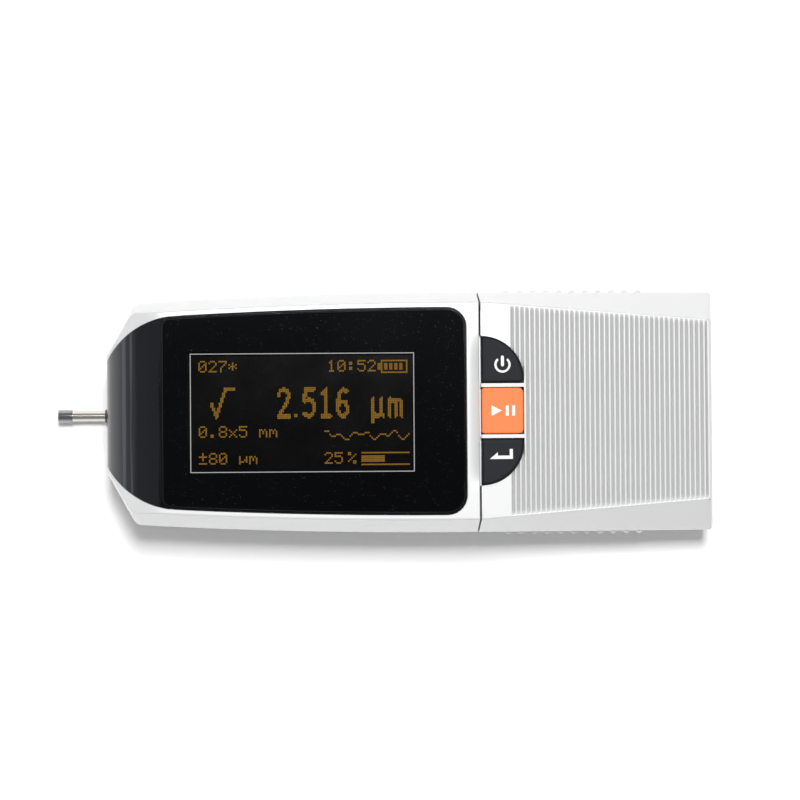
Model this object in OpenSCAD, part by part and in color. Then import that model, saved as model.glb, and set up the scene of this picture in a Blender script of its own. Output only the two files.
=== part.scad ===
// Portable surface roughness tester, lying on its flat base. Two plastic shells meet at a seam, a
// glossy panel with a display wraps over the front end, three keys sit at the seam, the rear shell
// is a ribbed grip, and a motor-driven pickup slides out of the front end.
// X runs along the body with the pickup at -X, Z is up, and the origin is the middle of the base.

/* [Body] */
// Length of the body without the pickup
body_l = 158; // [156:1:164]
// Height from the base to the top face
body_h = 46; // [45:0.5:50]
// Width at the widest line of the sides
belt_w = 61.9; // [61:0.1:66]
// Height of the widest line in front of the seam
belt_z = 29; // [26:0.5:32]
// Height of the widest line at the rear end
belt_rear_z = 22; // [18:0.5:28]
// Inward draw of each side from the widest line down to the base
base_in = 1.2; // [0.6:0.1:2]
// Inward draw of each side from the widest line up to the top face
top_in = 3.45; // [2.5:0.05:4]
// Radius of the bow of the front shell's long sides
bow_r = 1300; // [1100:50:2500]
// Place along X where the bow is widest
bow_x = 10; // [0:1:16]
// Wall of the two shells
wall = 2.5; // [2.2:0.1:3]
// Place along X of the seam between the shells
seam_x = 17.8; // [17:0.1:19]
// Gap at the seam
seam_gap = 0.4; // [0.2:0.1:0.6]
// Length of the front shell's tongue inside the grip
tongue_l = 3.6; // [2.5:0.1:4]
// Thickness of that tongue
tongue_t = 1.3; // [1:0.1:1.6]
// Assembly clearance between fixed pieces
fit = 0.15; // [0.1:0.05:0.25]
// Running clearance around shafts, rods and pins, on the radius
run = 0.05; // [0.03:0.01:0.08]

/* [Front end] */
// Length of the rounded front end
nose_run = 16.5; // [14:0.5:20]
// Backward lean of the front end, in degrees
nose_lean = 3.3; // [2.5:0.1:3.8]
// Angle of the slanted cheeks to the body's length, in degrees
cheek_a = 61; // [56:1:66]
// Half width of the cheeks where they are cheek_back behind the front
cheek_y = 22.6; // [21:0.2:24]
// Distance behind the front at which cheek_y is measured
cheek_back = 5.8; // [5.4:0.1:6.2]
// Plan radius between the front and the cheeks
cheek_front_r = 6; // [5:0.5:8]
// Plan radius between the cheeks and the long sides
cheek_side_r = 2.5; // [1:0.5:4]

/* [Panel and display] */
// Inward distance of the panel's long edges from the widest line of the sides
panel_in = 4.8; // [4.6:0.1:6]
// Thickness of the panel
panel_t = 2; // [1.8:0.1:2.2]
// Thickness of the wall behind the panel
backing_t = 1.5; // [1.2:0.1:2]
// Distance of the panel's straight rear edge from the seam
panel_margin = 3.4; // [3:0.1:5]
// Plan radius of the panel's rear corners
panel_r = 5; // [3:0.5:7]
// Plan radius of the panel's front corners
panel_front_r = 23; // [21:0.5:23.5]
// Height of the panel's lower edge at the front end
panel_foot = 1.2; // [1:0.1:1.4]
// Thickness of the flat window sheet
window_t = 1.2; // [1:0.1:1.4]
// Height that the window stands proud of the panel
window_proud = 0.15; // [0:0.05:0.3]
// Width of the panel's rim around the window
window_rim = 0.6; // [0.4:0.1:1]
// Plan radius of the window's front corners
window_r = 2; // [1:0.5:3]
// Length of the opening for the display
view_l = 57; // [54:0.5:58]
// Width of the opening for the display
view_w = 30.3; // [28:0.1:32]
// Place along X of the display's middle
view_x = -27.7; // [-29:0.1:-27]
// Length of the display's glass
glass_l = 60; // [59:0.5:61]
// Width of the display's glass
glass_w = 37; // [34:0.5:38]
// Thickness of the display's glass
glass_t = 1.7; // [1.4:0.1:1.8]
// Width of the display's board
view_board_w = 40; // [38:0.5:41]
// Thickness of every circuit board
board_t = 1.6; // [1.2:0.1:2]

/* [Keys] */
// Radius of the round outer corners of the key group
key_r = 10.9; // [10:0.1:11.5]
// Half length of the straight side of the key group
key_y = 8; // [7.5:0.1:9]
// Middle of each bar between the keys, from the centreline
bar_y = 6.45; // [6:0.05:7]
// Width of the bars
bar_w = 0.9; // [0.7:0.1:1.2]
// Clearance around each key
key_gap = 0.2; // [0.15:0.05:0.3]
// Height that the keys stand proud of the top face
key_proud = 0.6; // [0.4:0.1:1]
// Travel of the keys
key_travel = 0.7; // [0.5:0.1:0.8]
// Thickness of the lip that keeps a key in its opening
lip_t = 1; // [0.8:0.1:1.2]
// Overhang of that lip
lip_w = 0.8; // [0.6:0.1:1]
// Height of the rubber dome under a key that is pressed
dome_solid = 1.7; // [1.4:0.1:2]
// Radius of a dome where it stands on the board
dome_r = 3.6; // [3:0.1:4]
// Radius of a dome where it meets the key
dome_top_r = 2.2; // [1.8:0.1:2.4]

/* [Grip] */
// Half width of the grip's top face at the rear end
face_rear = 22.8; // [21:0.2:25]
// Radius of the rear end's edges
rear_r = 1; // [0.8:0.1:1.5]
// Lean of the rear end, from the widest line up to the top face
rear_lean = 2.7; // [2:0.1:3]
// Distance of the first groove from the seam
rib_start = 7.3; // [6:0.1:9]
// Spacing of the grip ribs
rib_pitch = 1.26; // [1.2:0.02:1.6]
// Number of grooves between the ribs
rib_count = 40; // [30:1:41]
// Width of each groove
groove_w = 0.78; // [0.6:0.02:0.9]
// Depth of each groove
groove_d = 0.4; // [0.3:0.05:0.6]
// Plain edge beside the grooves
groove_edge = 0.5; // [0.4:0.1:1.5]
// Number of upright finger ribs on each side
bump_count = 11; // [8:1:12]
// Spacing of the finger ribs
bump_pitch = 3.4; // [3:0.1:3.8]
// Distance of the first finger rib from the seam
bump_start = 8; // [6:0.5:9]
// Radius of a finger rib
bump_r = 0.85; // [0.6:0.05:1]
// Height of a finger rib
bump_h = 15; // [10:1:17]
// Height of the finger ribs' lower ends
bump_z = 8; // [6:0.5:10]

/* [Base and fixings] */
// Thickness of the base plate
base_t = 2; // [1.8:0.1:2.4]
// Shank diameter of the base screws
screw_d = 2.6; // [2.4:0.1:3]
// Head diameter of the base screws
head_d = 4.6; // [4.2:0.1:5]
// Depth of the base screws' heads in the plate
head_t = 1.1; // [0.9:0.1:1.2]
// Length of the base screws' shanks
screw_l = 9; // [7:0.5:10]
// Shank diameter of the small screws
small_d = 1.7; // [1.5:0.1:2]
// Head diameter of the small screws
small_head = 3.2; // [3:0.1:3.6]
// Head height of the small screws
small_head_t = 1.1; // [0.9:0.1:1.3]
// Radius of the base screws' bosses
boss_r = 3.2; // [3:0.1:3.4]
// Height of the base screws' bosses
boss_h = 12; // [11:0.5:16]
// Inward distance of the base screws from the widest line of the sides
boss_in = 7; // [6.8:0.1:7.4]
// Height of the main board above the base
main_z = 27; // [26:0.5:32]
// Length of the main board
main_l = 52; // [48:1:54]
// Width of the main board
main_w = 42; // [41:0.5:44]
// Place along X of the main board's middle
main_x = -20; // [-22:0.5:-19]

/* [Drive] */
// Travel of the pickup out of the body
stroke = 17.5; // [12:0.5:17.5]
// Height of the pickup's axis above the base
probe_z = 5; // [4.9:0.05:5.4]
// Height of the lead screw and guide rods above the base
drive_z = 13; // [12.5:0.5:15]
// Distance of each guide rod from the centreline
guide_y = 8; // [7.5:0.5:8.5]
// Diameter of the guide rods
guide_d = 3; // [2.5:0.5:3]
// Diameter of the lead screw
lead_d = 3; // [2.5:0.5:3]
// Thickness of the drive frame's sheet
frame_t = 1.5; // [1.2:0.1:1.8]
// Width of the drive frame
frame_w = 24; // [23:0.5:25]
// Height of the drive frame's top face
frame_h = 21; // [20.5:0.5:23]
// Room in front of the carriage at the end of its travel
frame_room = 10; // [9.5:0.5:11]
// Place along X of the drive frame's rear face
frame_rear = 13.5; // [13:0.5:14]
// Length of the carriage
carriage_l = 16; // [14:0.5:18]
// Distance of the carriage from the drive frame's rear face, at rest
carriage_back = 14.5; // [14.5:0.5:16]
// Diameter of the gear motor
motor_d = 12; // [11:0.5:12.5]
// Length of the gearbox
gearbox_l = 11.5; // [10:0.5:12]
// Length of the motor behind the gearbox
motor_l = 13; // [11:0.5:13]

/* [Pickup] */
// Reach of the pickup in front of the body, at rest
reach = 12.7; // [12:0.1:20]
// Length of the pickup's nose
nose_l = 3.8; // [3.5:0.1:5]
// Diameter of the pickup's nose
nose_d = 3.3; // [3.2:0.1:3.6]
// Diameter of the pickup's rod
rod_d = 2.7; // [2.6:0.1:2.9]
// Bore of the pickup's rod
rod_bore = 1.8; // [1.6:0.1:1.9]
// Diameter of the pickup's sensor body
pickup_d = 4.6; // [4.2:0.1:4.8]
// Length of the pickup's sensor body
pickup_l = 28; // [26:0.5:28]
// Diameter of the plug-in socket
socket_d = 5.2; // [5:0.1:5.4]
// Length of the plug-in socket
socket_l = 16; // [14:0.5:17]
// Height of the skid's lowest point above the base
skid_z = 0.6; // [0.5:0.05:1]
// Height of the stylus tip above the base
tip_z = 0.4; // [0.3:0.05:0.45]
// Diameter of the stylus lever
lever_d = 0.7; // [0.6:0.05:0.8]
// Height that the bushing stands proud of the front end
bush_proud = 0.3; // [0.2:0.05:0.8]

/* [Power] */
// Length of the battery along the body
battery_l = 28; // [24:0.5:28]
// Width of the battery
battery_w = 42; // [36:0.5:43]
// Height of the battery
battery_h = 11; // [8:0.5:14]
// Distance of the battery's rear face from the rear end
battery_back = 12; // [11.8:0.1:12.4]
// Height of the charging board above the base
charge_z = 8; // [6:0.5:10]

/* [Hidden] */
$fn = 64;
over = 1;
front_x = -body_l / 2;
rear_x = body_l / 2;
shell_end = seam_x - seam_gap / 2;
grip_end = seam_x + seam_gap / 2;
inside_z = body_h - wall;

// The front leans back and rolls over to the top in one arc.
nose_arc_r = (nose_run - body_h * tan(nose_lean)) / tan(45 - nose_lean / 2);
nose_arc = [front_x + nose_run, body_h - nose_arc_r];

// The key group stands against the seam, and each key has its own dome.
key_x = grip_end + key_gap;
key_mid = key_x + 5.2;
corner_key = [key_x + 4.6, key_y + 4.4];
dome_h = dome_solid + key_travel;
dome_z = inside_z - lip_t - fit - dome_h;
start_half = bar_y - bar_w / 2 - key_gap;
corner_low = bar_y + bar_w / 2 + key_gap;
keypad_l = 14.4;
keypad_w = 40;
keypad_fix = [key_x + 12.8, 16];
keypad_boss_r = 2.2;
keypad_bite = 3.6;

// The screws stand inside the long sides.
front_fix = [front_x + 29, seam_x - 9.8];
grip_fix = [seam_x + 8.2, rear_x - 9];
boss_web = 2.4;
post_r = 2.5;
main_fix = [main_l / 2 - 4, main_w / 2 - 2.5];
board_bite = 6;
view_fix = [view_l / 2 + 3.7, 15];
view_boss_r = 1.8;
view_bay_l = view_l + 16;
view_bay_w = view_board_w + 2;
view_board_z = body_h - panel_t - 2 - board_t;

// The drive is set out backwards from the frame's rear face.
frame_l = frame_t + frame_room + stroke + carriage_l + carriage_back;
frame_front = frame_rear - frame_l;
foot_l = 8;
foot_w = 5;
foot_y = frame_w / 2 - foot_w / 2;
carriage_x = frame_rear - carriage_back - carriage_l;
saddle_l = 8;
carriage_h = 8.7;
nut_r = 3.5;
coupler_r = 3;
coupler_l = 9.5;
coupler_x = frame_rear - frame_t - coupler_l - 1;
bearing_r = 2.5;
bearing_flange = 0.8;
gearbox_boss_r = 3.5;

// The pickup is set out backwards from its nose, and its socket sits in the carriage's saddle.
tip_x = front_x - reach;
socket_x = carriage_x + saddle_l - socket_l;
pickup_x = socket_x - pickup_l;
rod_plug = 3;
rod_seat = nose_l / 2;
pivot_x = pickup_x + 6;
pivot_r = 0.5;
pivot_l = 3.6;
chamber_r = rod_d / 2 + run;
plug_r = 1.5;
plug_l = 4;
stylus_x = tip_x + 1;
stylus_r = 0.28;
keel_w = 1.2;
bush_r = 1.72;
bush_flange_r = 2.75;
rib_t = 1.2;
usb_w = 8;
usb_h = 3.2;
usb_l = 7.4;
usb_sunk = 0.6;
charge_w = 18;
charge_l = 8;
charge_fix = [rear_x - 9, 6.8];
charge_post_r = 1.9;
charge_bite = 4;
battery_rib_w = 24;
battery_rib_l = 16;
battery_rib_h = 3;

shell_white = [0.88, 0.88, 0.87];
gloss_black = [0.05, 0.05, 0.06];
key_grey = [0.16, 0.17, 0.19];
key_orange = [1, 0.45, 0.2];
board_green = [0.1, 0.35, 0.2];
steel = [0.75, 0.75, 0.73];
dark_steel = [0.35, 0.35, 0.35];
brass = [0.8, 0.65, 0.3];
alloy = [0.7, 0.71, 0.73];
rubber = [0.12, 0.12, 0.12];

// Points of the arc of radius r that rounds corner b between the points a and c.
function corner(a, b, c, r, n) =
  let (
    u = (a - b) / norm(a - b),
    v = (c - b) / norm(c - b),
    half = acos(u * v) / 2,
    o = b + (u + v) / norm(u + v) * r / sin(half),
    p = b + u * r / tan(half) - o,
    q = b + v * r / tan(half) - o,
    start = atan2(p.y, p.x),
    turn = atan2(p.x * q.y - p.y * q.x, p * q)
  )
  [for (i = [0:n]) o + r * [cos(start + turn * i / n), sin(start + turn * i / n)]];

// A half outline on the +Y side, from the front to the rear, closed by its mirror image.
function mirrored(half) =
  concat([for (i = [len(half) - 1:-1:0]) half[i]], [for (p = half) [p.x, -p.y]]);

function at_height(ring, z) = [for (p = ring) [p.x, p.y, z]];

// Half width of the front shell at its widest line.
function belt_y(x) = belt_w / 2 - pow(max(bow_x - x, 0), 2) / (2 * bow_r);

// Inward draw of the front shell's sides at height z.
function draw_in(z) =
  z < belt_z ? base_in * (belt_z - z) / belt_z : top_in * (z - belt_z) / (body_h - belt_z);

// Half outline of the front shell at height z, inset by t, from the front end to x_end.
function front_half(t, z, x_end) =
  let (
    fx = front_x + t,
    slope = tan(cheek_a),
    k = [front_x + cheek_back + t * sin(cheek_a), cheek_y - t * cos(cheek_a) - draw_in(z)],
    near = front_x + cheek_back + 3,
    ys = belt_y(near) - t - draw_in(z),
    c1 = [fx, k.y + (fx - k.x) * slope],
    c2 = [k.x + (ys - k.y) / slope, ys],
    first = c2.x + 8,
    steps = 7
  )
  concat(
    corner([fx, 0], c1, c2, cheek_front_r - t, 5),
    corner(c1, c2, [first, belt_y(first) - t - draw_in(z)], cheek_side_r, 3),
    [for (i = [0:steps])
      let (x = first + (x_end - first) * i / steps)
      [x, belt_y(x) - t - draw_in(z)]]
  );

// Section of the grip at x, inset by t, drawn in by e at the rear edges, down to height z0.
function grip_ring(x, t, e, z0) =
  let (
    f = (x - seam_x) / (rear_x - seam_x),
    bz = belt_z + (belt_rear_z - belt_z) * f,
    by = belt_w / 2 - t - e,
    top = body_h - t - e,
    face = belt_w / 2 - top_in + (face_rear - belt_w / 2 + top_in) * f,
    ty = face + (belt_w / 2 - face) * (body_h - top) / (body_h - bz) - t - e,
    tx = x - rear_lean * (x - grip_end) / (rear_x - grip_end) * (top - bz) / (body_h - bz),
    dy = by - base_in * (bz - z0) / bz
  )
  [[x, dy, z0], [x, by, bz], [tx, ty, top], [tx, -ty, top], [x, -by, bz], [x, -dy, z0]];

function face_y(x) =
  belt_w / 2 - top_in + (face_rear - belt_w / 2 + top_in) * (x - seam_x) / (rear_x - seam_x);

// A closed skin through rings of equally many points, each end closed by the flat faces of caps.
module loft(rings, caps) {
  n = len(rings[0]);
  m = len(rings);
  polyhedron(
    points = [for (r = rings) each r],
    faces = concat(
      caps,
      [for (k = [0:m - 2], i = [0:n - 1])
        let (a = k * n + i, b = k * n + (i + 1) % n)
        each [[a, a + n, b + n], [a, b + n, b]]],
      [for (c = caps) [for (i = [len(c) - 1:-1:0]) (m - 1) * n + c[i]]]
    )
  );
}

// The drafted, bowed sides and slanted cheeks of the front shell.
module front_sides(t, z0, x_end) {
  rings = [for (z = [z0, belt_z, body_h]) at_height(mirrored(front_half(t, z, x_end)), z)];
  loft(rings, [[for (i = [0:len(rings[0]) - 1]) i]]);
}

// Side view of the front shell, inset by t: flat top, then the arc down to the leaning front.
module nose_profile(t) {
  r = nose_arc_r - t;
  foot = [front_x + t / cos(nose_lean) - over * tan(nose_lean), -over];
  translate([nose_arc.x, -over]) square([body_l, body_h - t + over]);
  translate(nose_arc) circle(r = r, $fn = 180);
  polygon([nose_arc, nose_arc + r * [-cos(nose_lean), sin(nose_lean)], foot, [nose_arc.x, -over]]);
}

module nose_block(t) {
  rotate([90, 0, 0]) linear_extrude(height = 2 * belt_w, center = true) nose_profile(t);
}

module front_form(t, z0, x_end) {
  intersection() {
    front_sides(t, z0, x_end);
    nose_block(t);
  }
}

// The grip, from x0 to the rear end, inset by t.
module grip_form(t, z0, x0) {
  steps = 6;
  r = rear_r;
  x1 = rear_x - t - r;
  rings = concat(
    [for (i = [0:steps]) grip_ring(x0 + (x1 - x0) * i / steps, t, 0, z0)],
    [for (a = [30, 60, 90]) grip_ring(x1 + r * sin(a), t, r * (1 - cos(a)), z0)]
  );
  loft(rings, [[0, 1, 4, 5], [1, 2, 3, 4]]);
}

// Plan of the glossy panel, grown by g.
module panel_plan(g) {
  rear = seam_x - panel_margin + g;
  first = front_x + nose_run + 6;
  last = rear - panel_r - 3;
  fx = front_x - 1.2 - g;
  steps = 6;
  half = concat(
    corner([fx, 0], [fx, belt_y(first) - panel_in + g], [first, belt_y(first) - panel_in + g],
      panel_front_r + g, 10),
    [for (i = [1:steps])
      let (x = first + (last - first) * i / steps)
      [x, belt_y(x) - panel_in + g]],
    corner([last, belt_y(last) - panel_in + g], [rear, belt_y(rear) - panel_in + g], [rear, 0],
      panel_r + g, 6)
  );
  polygon(mirrored(half));
}

// Plan of the flat window sheet, grown by g.
module window_plan(g) {
  rear = seam_x - panel_margin - window_rim + g;
  fx = front_x + nose_run + 0.2 - g;
  first = fx + window_r + 2;
  last = rear - panel_r - 3;
  inset = panel_in + window_rim - g;
  steps = 6;
  half = concat(
    corner([fx, 0], [fx, belt_y(fx) - inset], [first, belt_y(first) - inset], window_r + g, 4),
    [for (i = [1:steps])
      let (x = first + (last - first) * i / steps)
      [x, belt_y(x) - inset]],
    corner([last, belt_y(last) - inset], [rear, belt_y(rear) - inset], [rear, 0],
      panel_r - window_rim + g, 6)
  );
  polygon(mirrored(half));
}

// Plan of the whole key group, grown by g on its round side.
module key_plan(g, x0) {
  intersection() {
    union() {
      translate([x0, -key_y]) square([key_r + grip_end - x0 + g, 2 * key_y]);
      for (s = [-1, 1]) translate([grip_end, s * key_y]) circle(r = key_r + g);
    }
    translate([x0, -belt_w / 2]) square([body_l, belt_w]);
  }
}

// A key with its cap, the lip that keeps it in, and a hollow over its dome.
module key(low, high, at) {
  z0 = inside_z - fit - lip_t;
  module band() {
    translate([key_x, low]) square([body_l, high - low]);
  }
  difference() {
    union() {
      translate([0, 0, z0]) linear_extrude(height = body_h + key_proud - z0) intersection() {
        key_plan(-key_gap, key_x);
        band();
      }
      translate([0, 0, z0]) linear_extrude(height = lip_t) intersection() {
        key_plan(lip_w, key_x);
        band();
      }
    }
    translate([at.x, at.y, z0 - over]) cylinder(r = dome_top_r - 0.6, h = over + 0.8);
  }
}

module dome(at) {
  color(rubber) translate([at.x, at.y, dome_z]) difference() {
    cylinder(r1 = dome_r, r2 = dome_top_r, h = dome_h);
    translate([0, 0, -over]) cylinder(r = dome_top_r - 0.8, h = dome_h + over - 0.8);
  }
}

// A screw with its head's underside at the origin, pointing along +Z.
module screw(d, l, head, head_h) {
  cylinder(d = d, h = l);
  translate([0, 0, -head_h]) difference() {
    cylinder(d = head, h = head_h);
    translate([0, 0, -over]) cylinder(d = head / 2, h = over + head_h / 2, $fn = 6);
  }
}

module along_x(x, y, z) {
  translate([x, y, z]) rotate([0, 90, 0]) children();
}

// Places of the base screws: front pairs, then grip pairs.
function fix_y(x) = belt_y(x) - boss_in;

module at_fix(xs) {
  for (x = xs, s = [-1, 1]) translate([x, s * fix_y(x), 0]) rotate(s > 0 ? 0 : 180) children();
}

module boss() {
  translate([0, 0, base_t]) difference() {
    union() {
      cylinder(r = boss_r, h = boss_h);
      translate([-boss_web / 2, 0, 0]) cube([boss_web, boss_in - wall / 2 - base_in, boss_h]);
    }
    translate([0, 0, -over]) cylinder(d = screw_d + 2 * run, h = boss_h - 1 + over);
  }
}

module front_housing() {
  color(shell_white) {
    difference() {
      union() {
        difference() {
          front_form(0, 0, shell_end);
          front_form(wall, -over, seam_x + over);
        }
        intersection() {
          front_form(wall / 2, base_t + fit, shell_end);
          difference() {
            translate([0, 0, base_t + fit]) linear_extrude(height = body_h) panel_plan(1.5);
            nose_block(panel_t + backing_t);
          }
        }
        tongue();
      }
      difference() {
        translate([0, 0, panel_foot]) linear_extrude(height = body_h) panel_plan(fit);
        nose_block(panel_t);
      }
      view_bay();
      along_x(front_x - over, 0, probe_z)
        cylinder(r = bush_flange_r + run, h = over + panel_t + backing_t + over);
    }
    at_fix(front_fix) boss();
  }
}

// The room that the display module takes behind the panel.
module view_bay() {
  translate([view_x - view_bay_l / 2, -view_bay_w / 2, body_h / 2])
    cube([view_bay_l, view_bay_w, body_h]);
}

// The lip of the front shell's sides that reaches into the grip, with its root.
module tongue() {
  z0 = base_t + 2;
  z1 = belt_z + 6;
  inner = wall + fit + tongue_t;
  intersection() {
    difference() {
      front_form(wall / 2, -over, shell_end);
      front_form(inner, -2 * over, seam_x + over);
    }
    translate([shell_end - tongue_l, -belt_w, z0]) cube([tongue_l, 2 * belt_w, z1 - z0]);
  }
  intersection() {
    difference() {
      grip_form(wall + fit, -over, shell_end - 0.1);
      grip_form(inner, -2 * over, shell_end - over);
    }
    translate([shell_end - 0.1, -belt_w, z0]) cube([tongue_l + 0.1, 2 * belt_w, z1 - z0]);
  }
}

module grip_housing() {
  color(shell_white) difference() {
    union() {
      difference() {
        grip_form(0, 0, grip_end);
        grip_form(wall, -over, grip_end - over);
      }
      at_fix(grip_fix) boss();
      for (s = [-1, 1]) translate([keypad_fix.x, s * keypad_fix.y, dome_z])
        cylinder(r = keypad_boss_r, h = inside_z - dome_z + wall / 2);
      finger_ribs();
    }
    grooves();
    translate([0, 0, inside_z - over]) linear_extrude(height = wall + 2 * over) difference() {
      key_plan(0, grip_end - over);
      for (s = [-1, 1]) translate([0, s * bar_y - bar_w / 2]) square([body_l, bar_w]);
    }
    for (s = [-1, 1]) translate([keypad_fix.x, s * keypad_fix.y, dome_z - over])
      cylinder(d = small_d + 2 * run, h = over + keypad_bite + 4 * fit);
    translate([rear_x - wall - over, -usb_w / 2 - 0.3, charge_z + board_t - 0.3])
      cube([wall + 2 * over, usb_w + 0.6, usb_h + 0.6]);
  }
}

module grooves() {
  for (i = [0:rib_count - 1]) {
    x = seam_x + rib_start + (i + 0.5) * rib_pitch;
    half = face_y(x) - groove_edge;
    translate([x - groove_w / 2, -half, body_h - groove_d]) cube([groove_w, 2 * half, groove_d + over]);
  }
}

module finger_ribs() {
  lean = atan(base_in / belt_z);
  for (i = [0:bump_count - 1], s = [-1, 1]) {
    x = seam_x + bump_start + i * bump_pitch;
    translate([x, s * (belt_w / 2 - base_in * (belt_z - bump_z) / belt_z), bump_z])
      rotate([-s * lean, 0, 0]) {
        cylinder(r = bump_r, h = bump_h);
        for (z = [0, bump_h]) translate([0, 0, z]) sphere(r = bump_r);
      }
  }
}

module base_plate() {
  t = wall + fit;
  rear_y = belt_w / 2 - base_in - t;
  half = concat(front_half(t, 0, seam_x),
    corner([seam_x, rear_y], [rear_x - t, rear_y], [rear_x - t, 0], rear_r, 4));
  color(dark_steel) difference() {
    union() {
      intersection() {
        linear_extrude(height = base_t) polygon(mirrored(half));
        nose_block(t);
      }
      for (sx = [-1, 1], sy = [-1, 1]) translate([main_x + sx * main_fix.x, sy * main_fix.y, 0])
        cylinder(r = post_r, h = main_z);
      for (s = [-1, 1]) translate([charge_fix.x, s * charge_fix.y, 0])
        cylinder(r = charge_post_r, h = charge_z);
      battery_ribs();
    }
    at_fix(concat(front_fix, grip_fix)) {
      translate([0, 0, -over]) cylinder(d = screw_d + 2 * fit, h = base_t + 2 * over);
      translate([0, 0, -over]) cylinder(d = head_d + 2 * fit, h = head_t + over);
    }
    for (sx = [-1, 1], sy = [-1, 1])
      translate([main_x + sx * main_fix.x, sy * main_fix.y, main_z - board_bite - over])
        cylinder(d = small_d + 2 * run, h = board_bite + 2 * over);
    for (s = [-1, 1]) translate([charge_fix.x, s * charge_fix.y, charge_z - charge_bite - over])
      cylinder(d = small_d + 2 * run, h = charge_bite + 2 * over);
    at_feet() translate([0, 0, 0.5]) cylinder(d = small_d + 2 * run, h = base_t + over);
  }
}

module battery_ribs() {
  x1 = rear_x - battery_back;
  x0 = x1 - battery_l;
  side = battery_w / 2 + fit + rib_t / 2;
  top = base_t + battery_rib_h;
  for (x = [x0 - fit - rib_t, x1 + fit]) translate([x, -battery_rib_w / 2, 0])
    cube([rib_t, battery_rib_w, top]);
  for (s = [-1, 1]) translate([(x0 + x1 - battery_rib_l) / 2, s * side - rib_t / 2, 0])
    cube([battery_rib_l, rib_t, top]);
}

module front_panel() {
  color(gloss_black) difference() {
    union() {
      difference() {
        intersection() {
          translate([0, 0, panel_foot + fit]) linear_extrude(height = body_h) panel_plan(0);
          nose_block(0);
        }
        nose_block(panel_t);
      }
      at_view_fix() translate([0, 0, view_board_z + board_t])
        cylinder(r = view_boss_r, h = body_h - window_t - view_board_z - board_t);
    }
    translate([0, 0, body_h - window_t + window_proud]) linear_extrude(height = body_h) window_plan(fit);
    translate([view_x - view_l / 2, -view_w / 2, body_h / 2]) cube([view_l, view_w, body_h]);
    at_view_fix() translate([0, 0, view_board_z]) cylinder(d = small_d + 2 * run, h = board_t + 2.2);
    along_x(front_x - over, 0, probe_z) cylinder(r = bush_r + run, h = panel_t + 2 * over);
  }
}

module at_view_fix() {
  for (sx = [-1, 1], sy = [-1, 1]) translate([view_x + sx * view_fix.x, sy * view_fix.y, 0]) children();
}

module display_window() {
  color("black", 0.6) translate([0, 0, body_h - window_t + window_proud])
    linear_extrude(height = window_t) window_plan(0);
}

module oled_glass() {
  color("black") translate([view_x - glass_l / 2, -glass_w / 2, view_board_z + board_t])
    cube([glass_l, glass_w, glass_t]);
}

module display_board() {
  l = 2 * view_fix.x + 5;
  color(board_green) difference() {
    translate([view_x - l / 2, -view_board_w / 2, view_board_z]) cube([l, view_board_w, board_t]);
    at_view_fix() translate([0, 0, view_board_z - over])
      cylinder(d = small_d + 2 * fit, h = board_t + 2 * over);
  }
}

module display_screws() {
  color(steel) at_view_fix() translate([0, 0, view_board_z])
    screw(small_d, board_t + 2, small_head, small_head_t);
}

module power_key() { color(key_grey) key(corner_low, key_y + key_r, corner_key); }
module start_key() { color(key_orange) key(-start_half, start_half, [key_mid, 0]); }
module enter_key() { color(key_grey) key(-key_y - key_r, -corner_low, [corner_key.x, -corner_key.y]); }
module power_dome() { dome(corner_key); }
module start_dome() { dome([key_mid, 0]); }
module enter_dome() { dome([corner_key.x, -corner_key.y]); }

module keypad_board() {
  color(board_green) difference() {
    translate([key_x + 0.6, -keypad_w / 2, dome_z - board_t]) cube([keypad_l, keypad_w, board_t]);
    for (s = [-1, 1]) translate([keypad_fix.x, s * keypad_fix.y, dome_z - board_t - over])
      cylinder(d = small_d + 2 * fit, h = board_t + 2 * over);
  }
}

module keypad_screws() {
  color(steel) for (s = [-1, 1]) translate([keypad_fix.x, s * keypad_fix.y, dome_z - board_t])
    screw(small_d, board_t + keypad_bite, small_head, small_head_t);
}

module main_board() {
  color(board_green) difference() {
    translate([main_x - main_l / 2, -main_w / 2, main_z]) cube([main_l, main_w, board_t]);
    for (sx = [-1, 1], sy = [-1, 1]) translate([main_x + sx * main_fix.x, sy * main_fix.y, main_z - over])
      cylinder(d = small_d + 2 * fit, h = board_t + 2 * over);
  }
}

module controller_chip() {
  size = 12;
  color(rubber) translate([main_x - size / 2, -size / 2, main_z + board_t]) cube([size, size, 1.4]);
}

module board_screws() {
  color(steel) for (sx = [-1, 1], sy = [-1, 1])
    translate([main_x + sx * main_fix.x, sy * main_fix.y, main_z + board_t]) rotate([180, 0, 0])
      screw(small_d, board_t + board_bite, small_head, small_head_t);
}

module battery_pack() {
  color("royalblue") translate([rear_x - battery_back - battery_l, -battery_w / 2, base_t])
    cube([battery_l, battery_w, battery_h]);
}

module charge_board() {
  color(board_green) difference() {
    translate([rear_x - wall - 0.5 - charge_l, -charge_w / 2, charge_z]) cube([charge_l, charge_w, board_t]);
    for (s = [-1, 1]) translate([charge_fix.x, s * charge_fix.y, charge_z - over])
      cylinder(d = small_d + 2 * fit, h = board_t + 2 * over);
  }
}

module charge_screws() {
  color(steel) for (s = [-1, 1]) translate([charge_fix.x, s * charge_fix.y, charge_z + board_t])
    rotate([180, 0, 0]) screw(small_d, board_t + charge_bite, small_head, small_head_t);
}

module usb_socket() {
  skin = 0.4;
  deep = 5.5;
  color(steel) translate([rear_x - usb_sunk - usb_l, -usb_w / 2, charge_z + board_t]) difference() {
    cube([usb_l, usb_w, usb_h]);
    difference() {
      translate([usb_l - deep, skin, skin]) cube([deep + over, usb_w - 2 * skin, usb_h - 2 * skin]);
      translate([0, 2 * skin + 0.8, usb_h / 2 - 0.35]) cube([usb_l - 1, usb_w - 4 * skin - 1.6, 0.7]);
    }
  }
}

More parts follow.
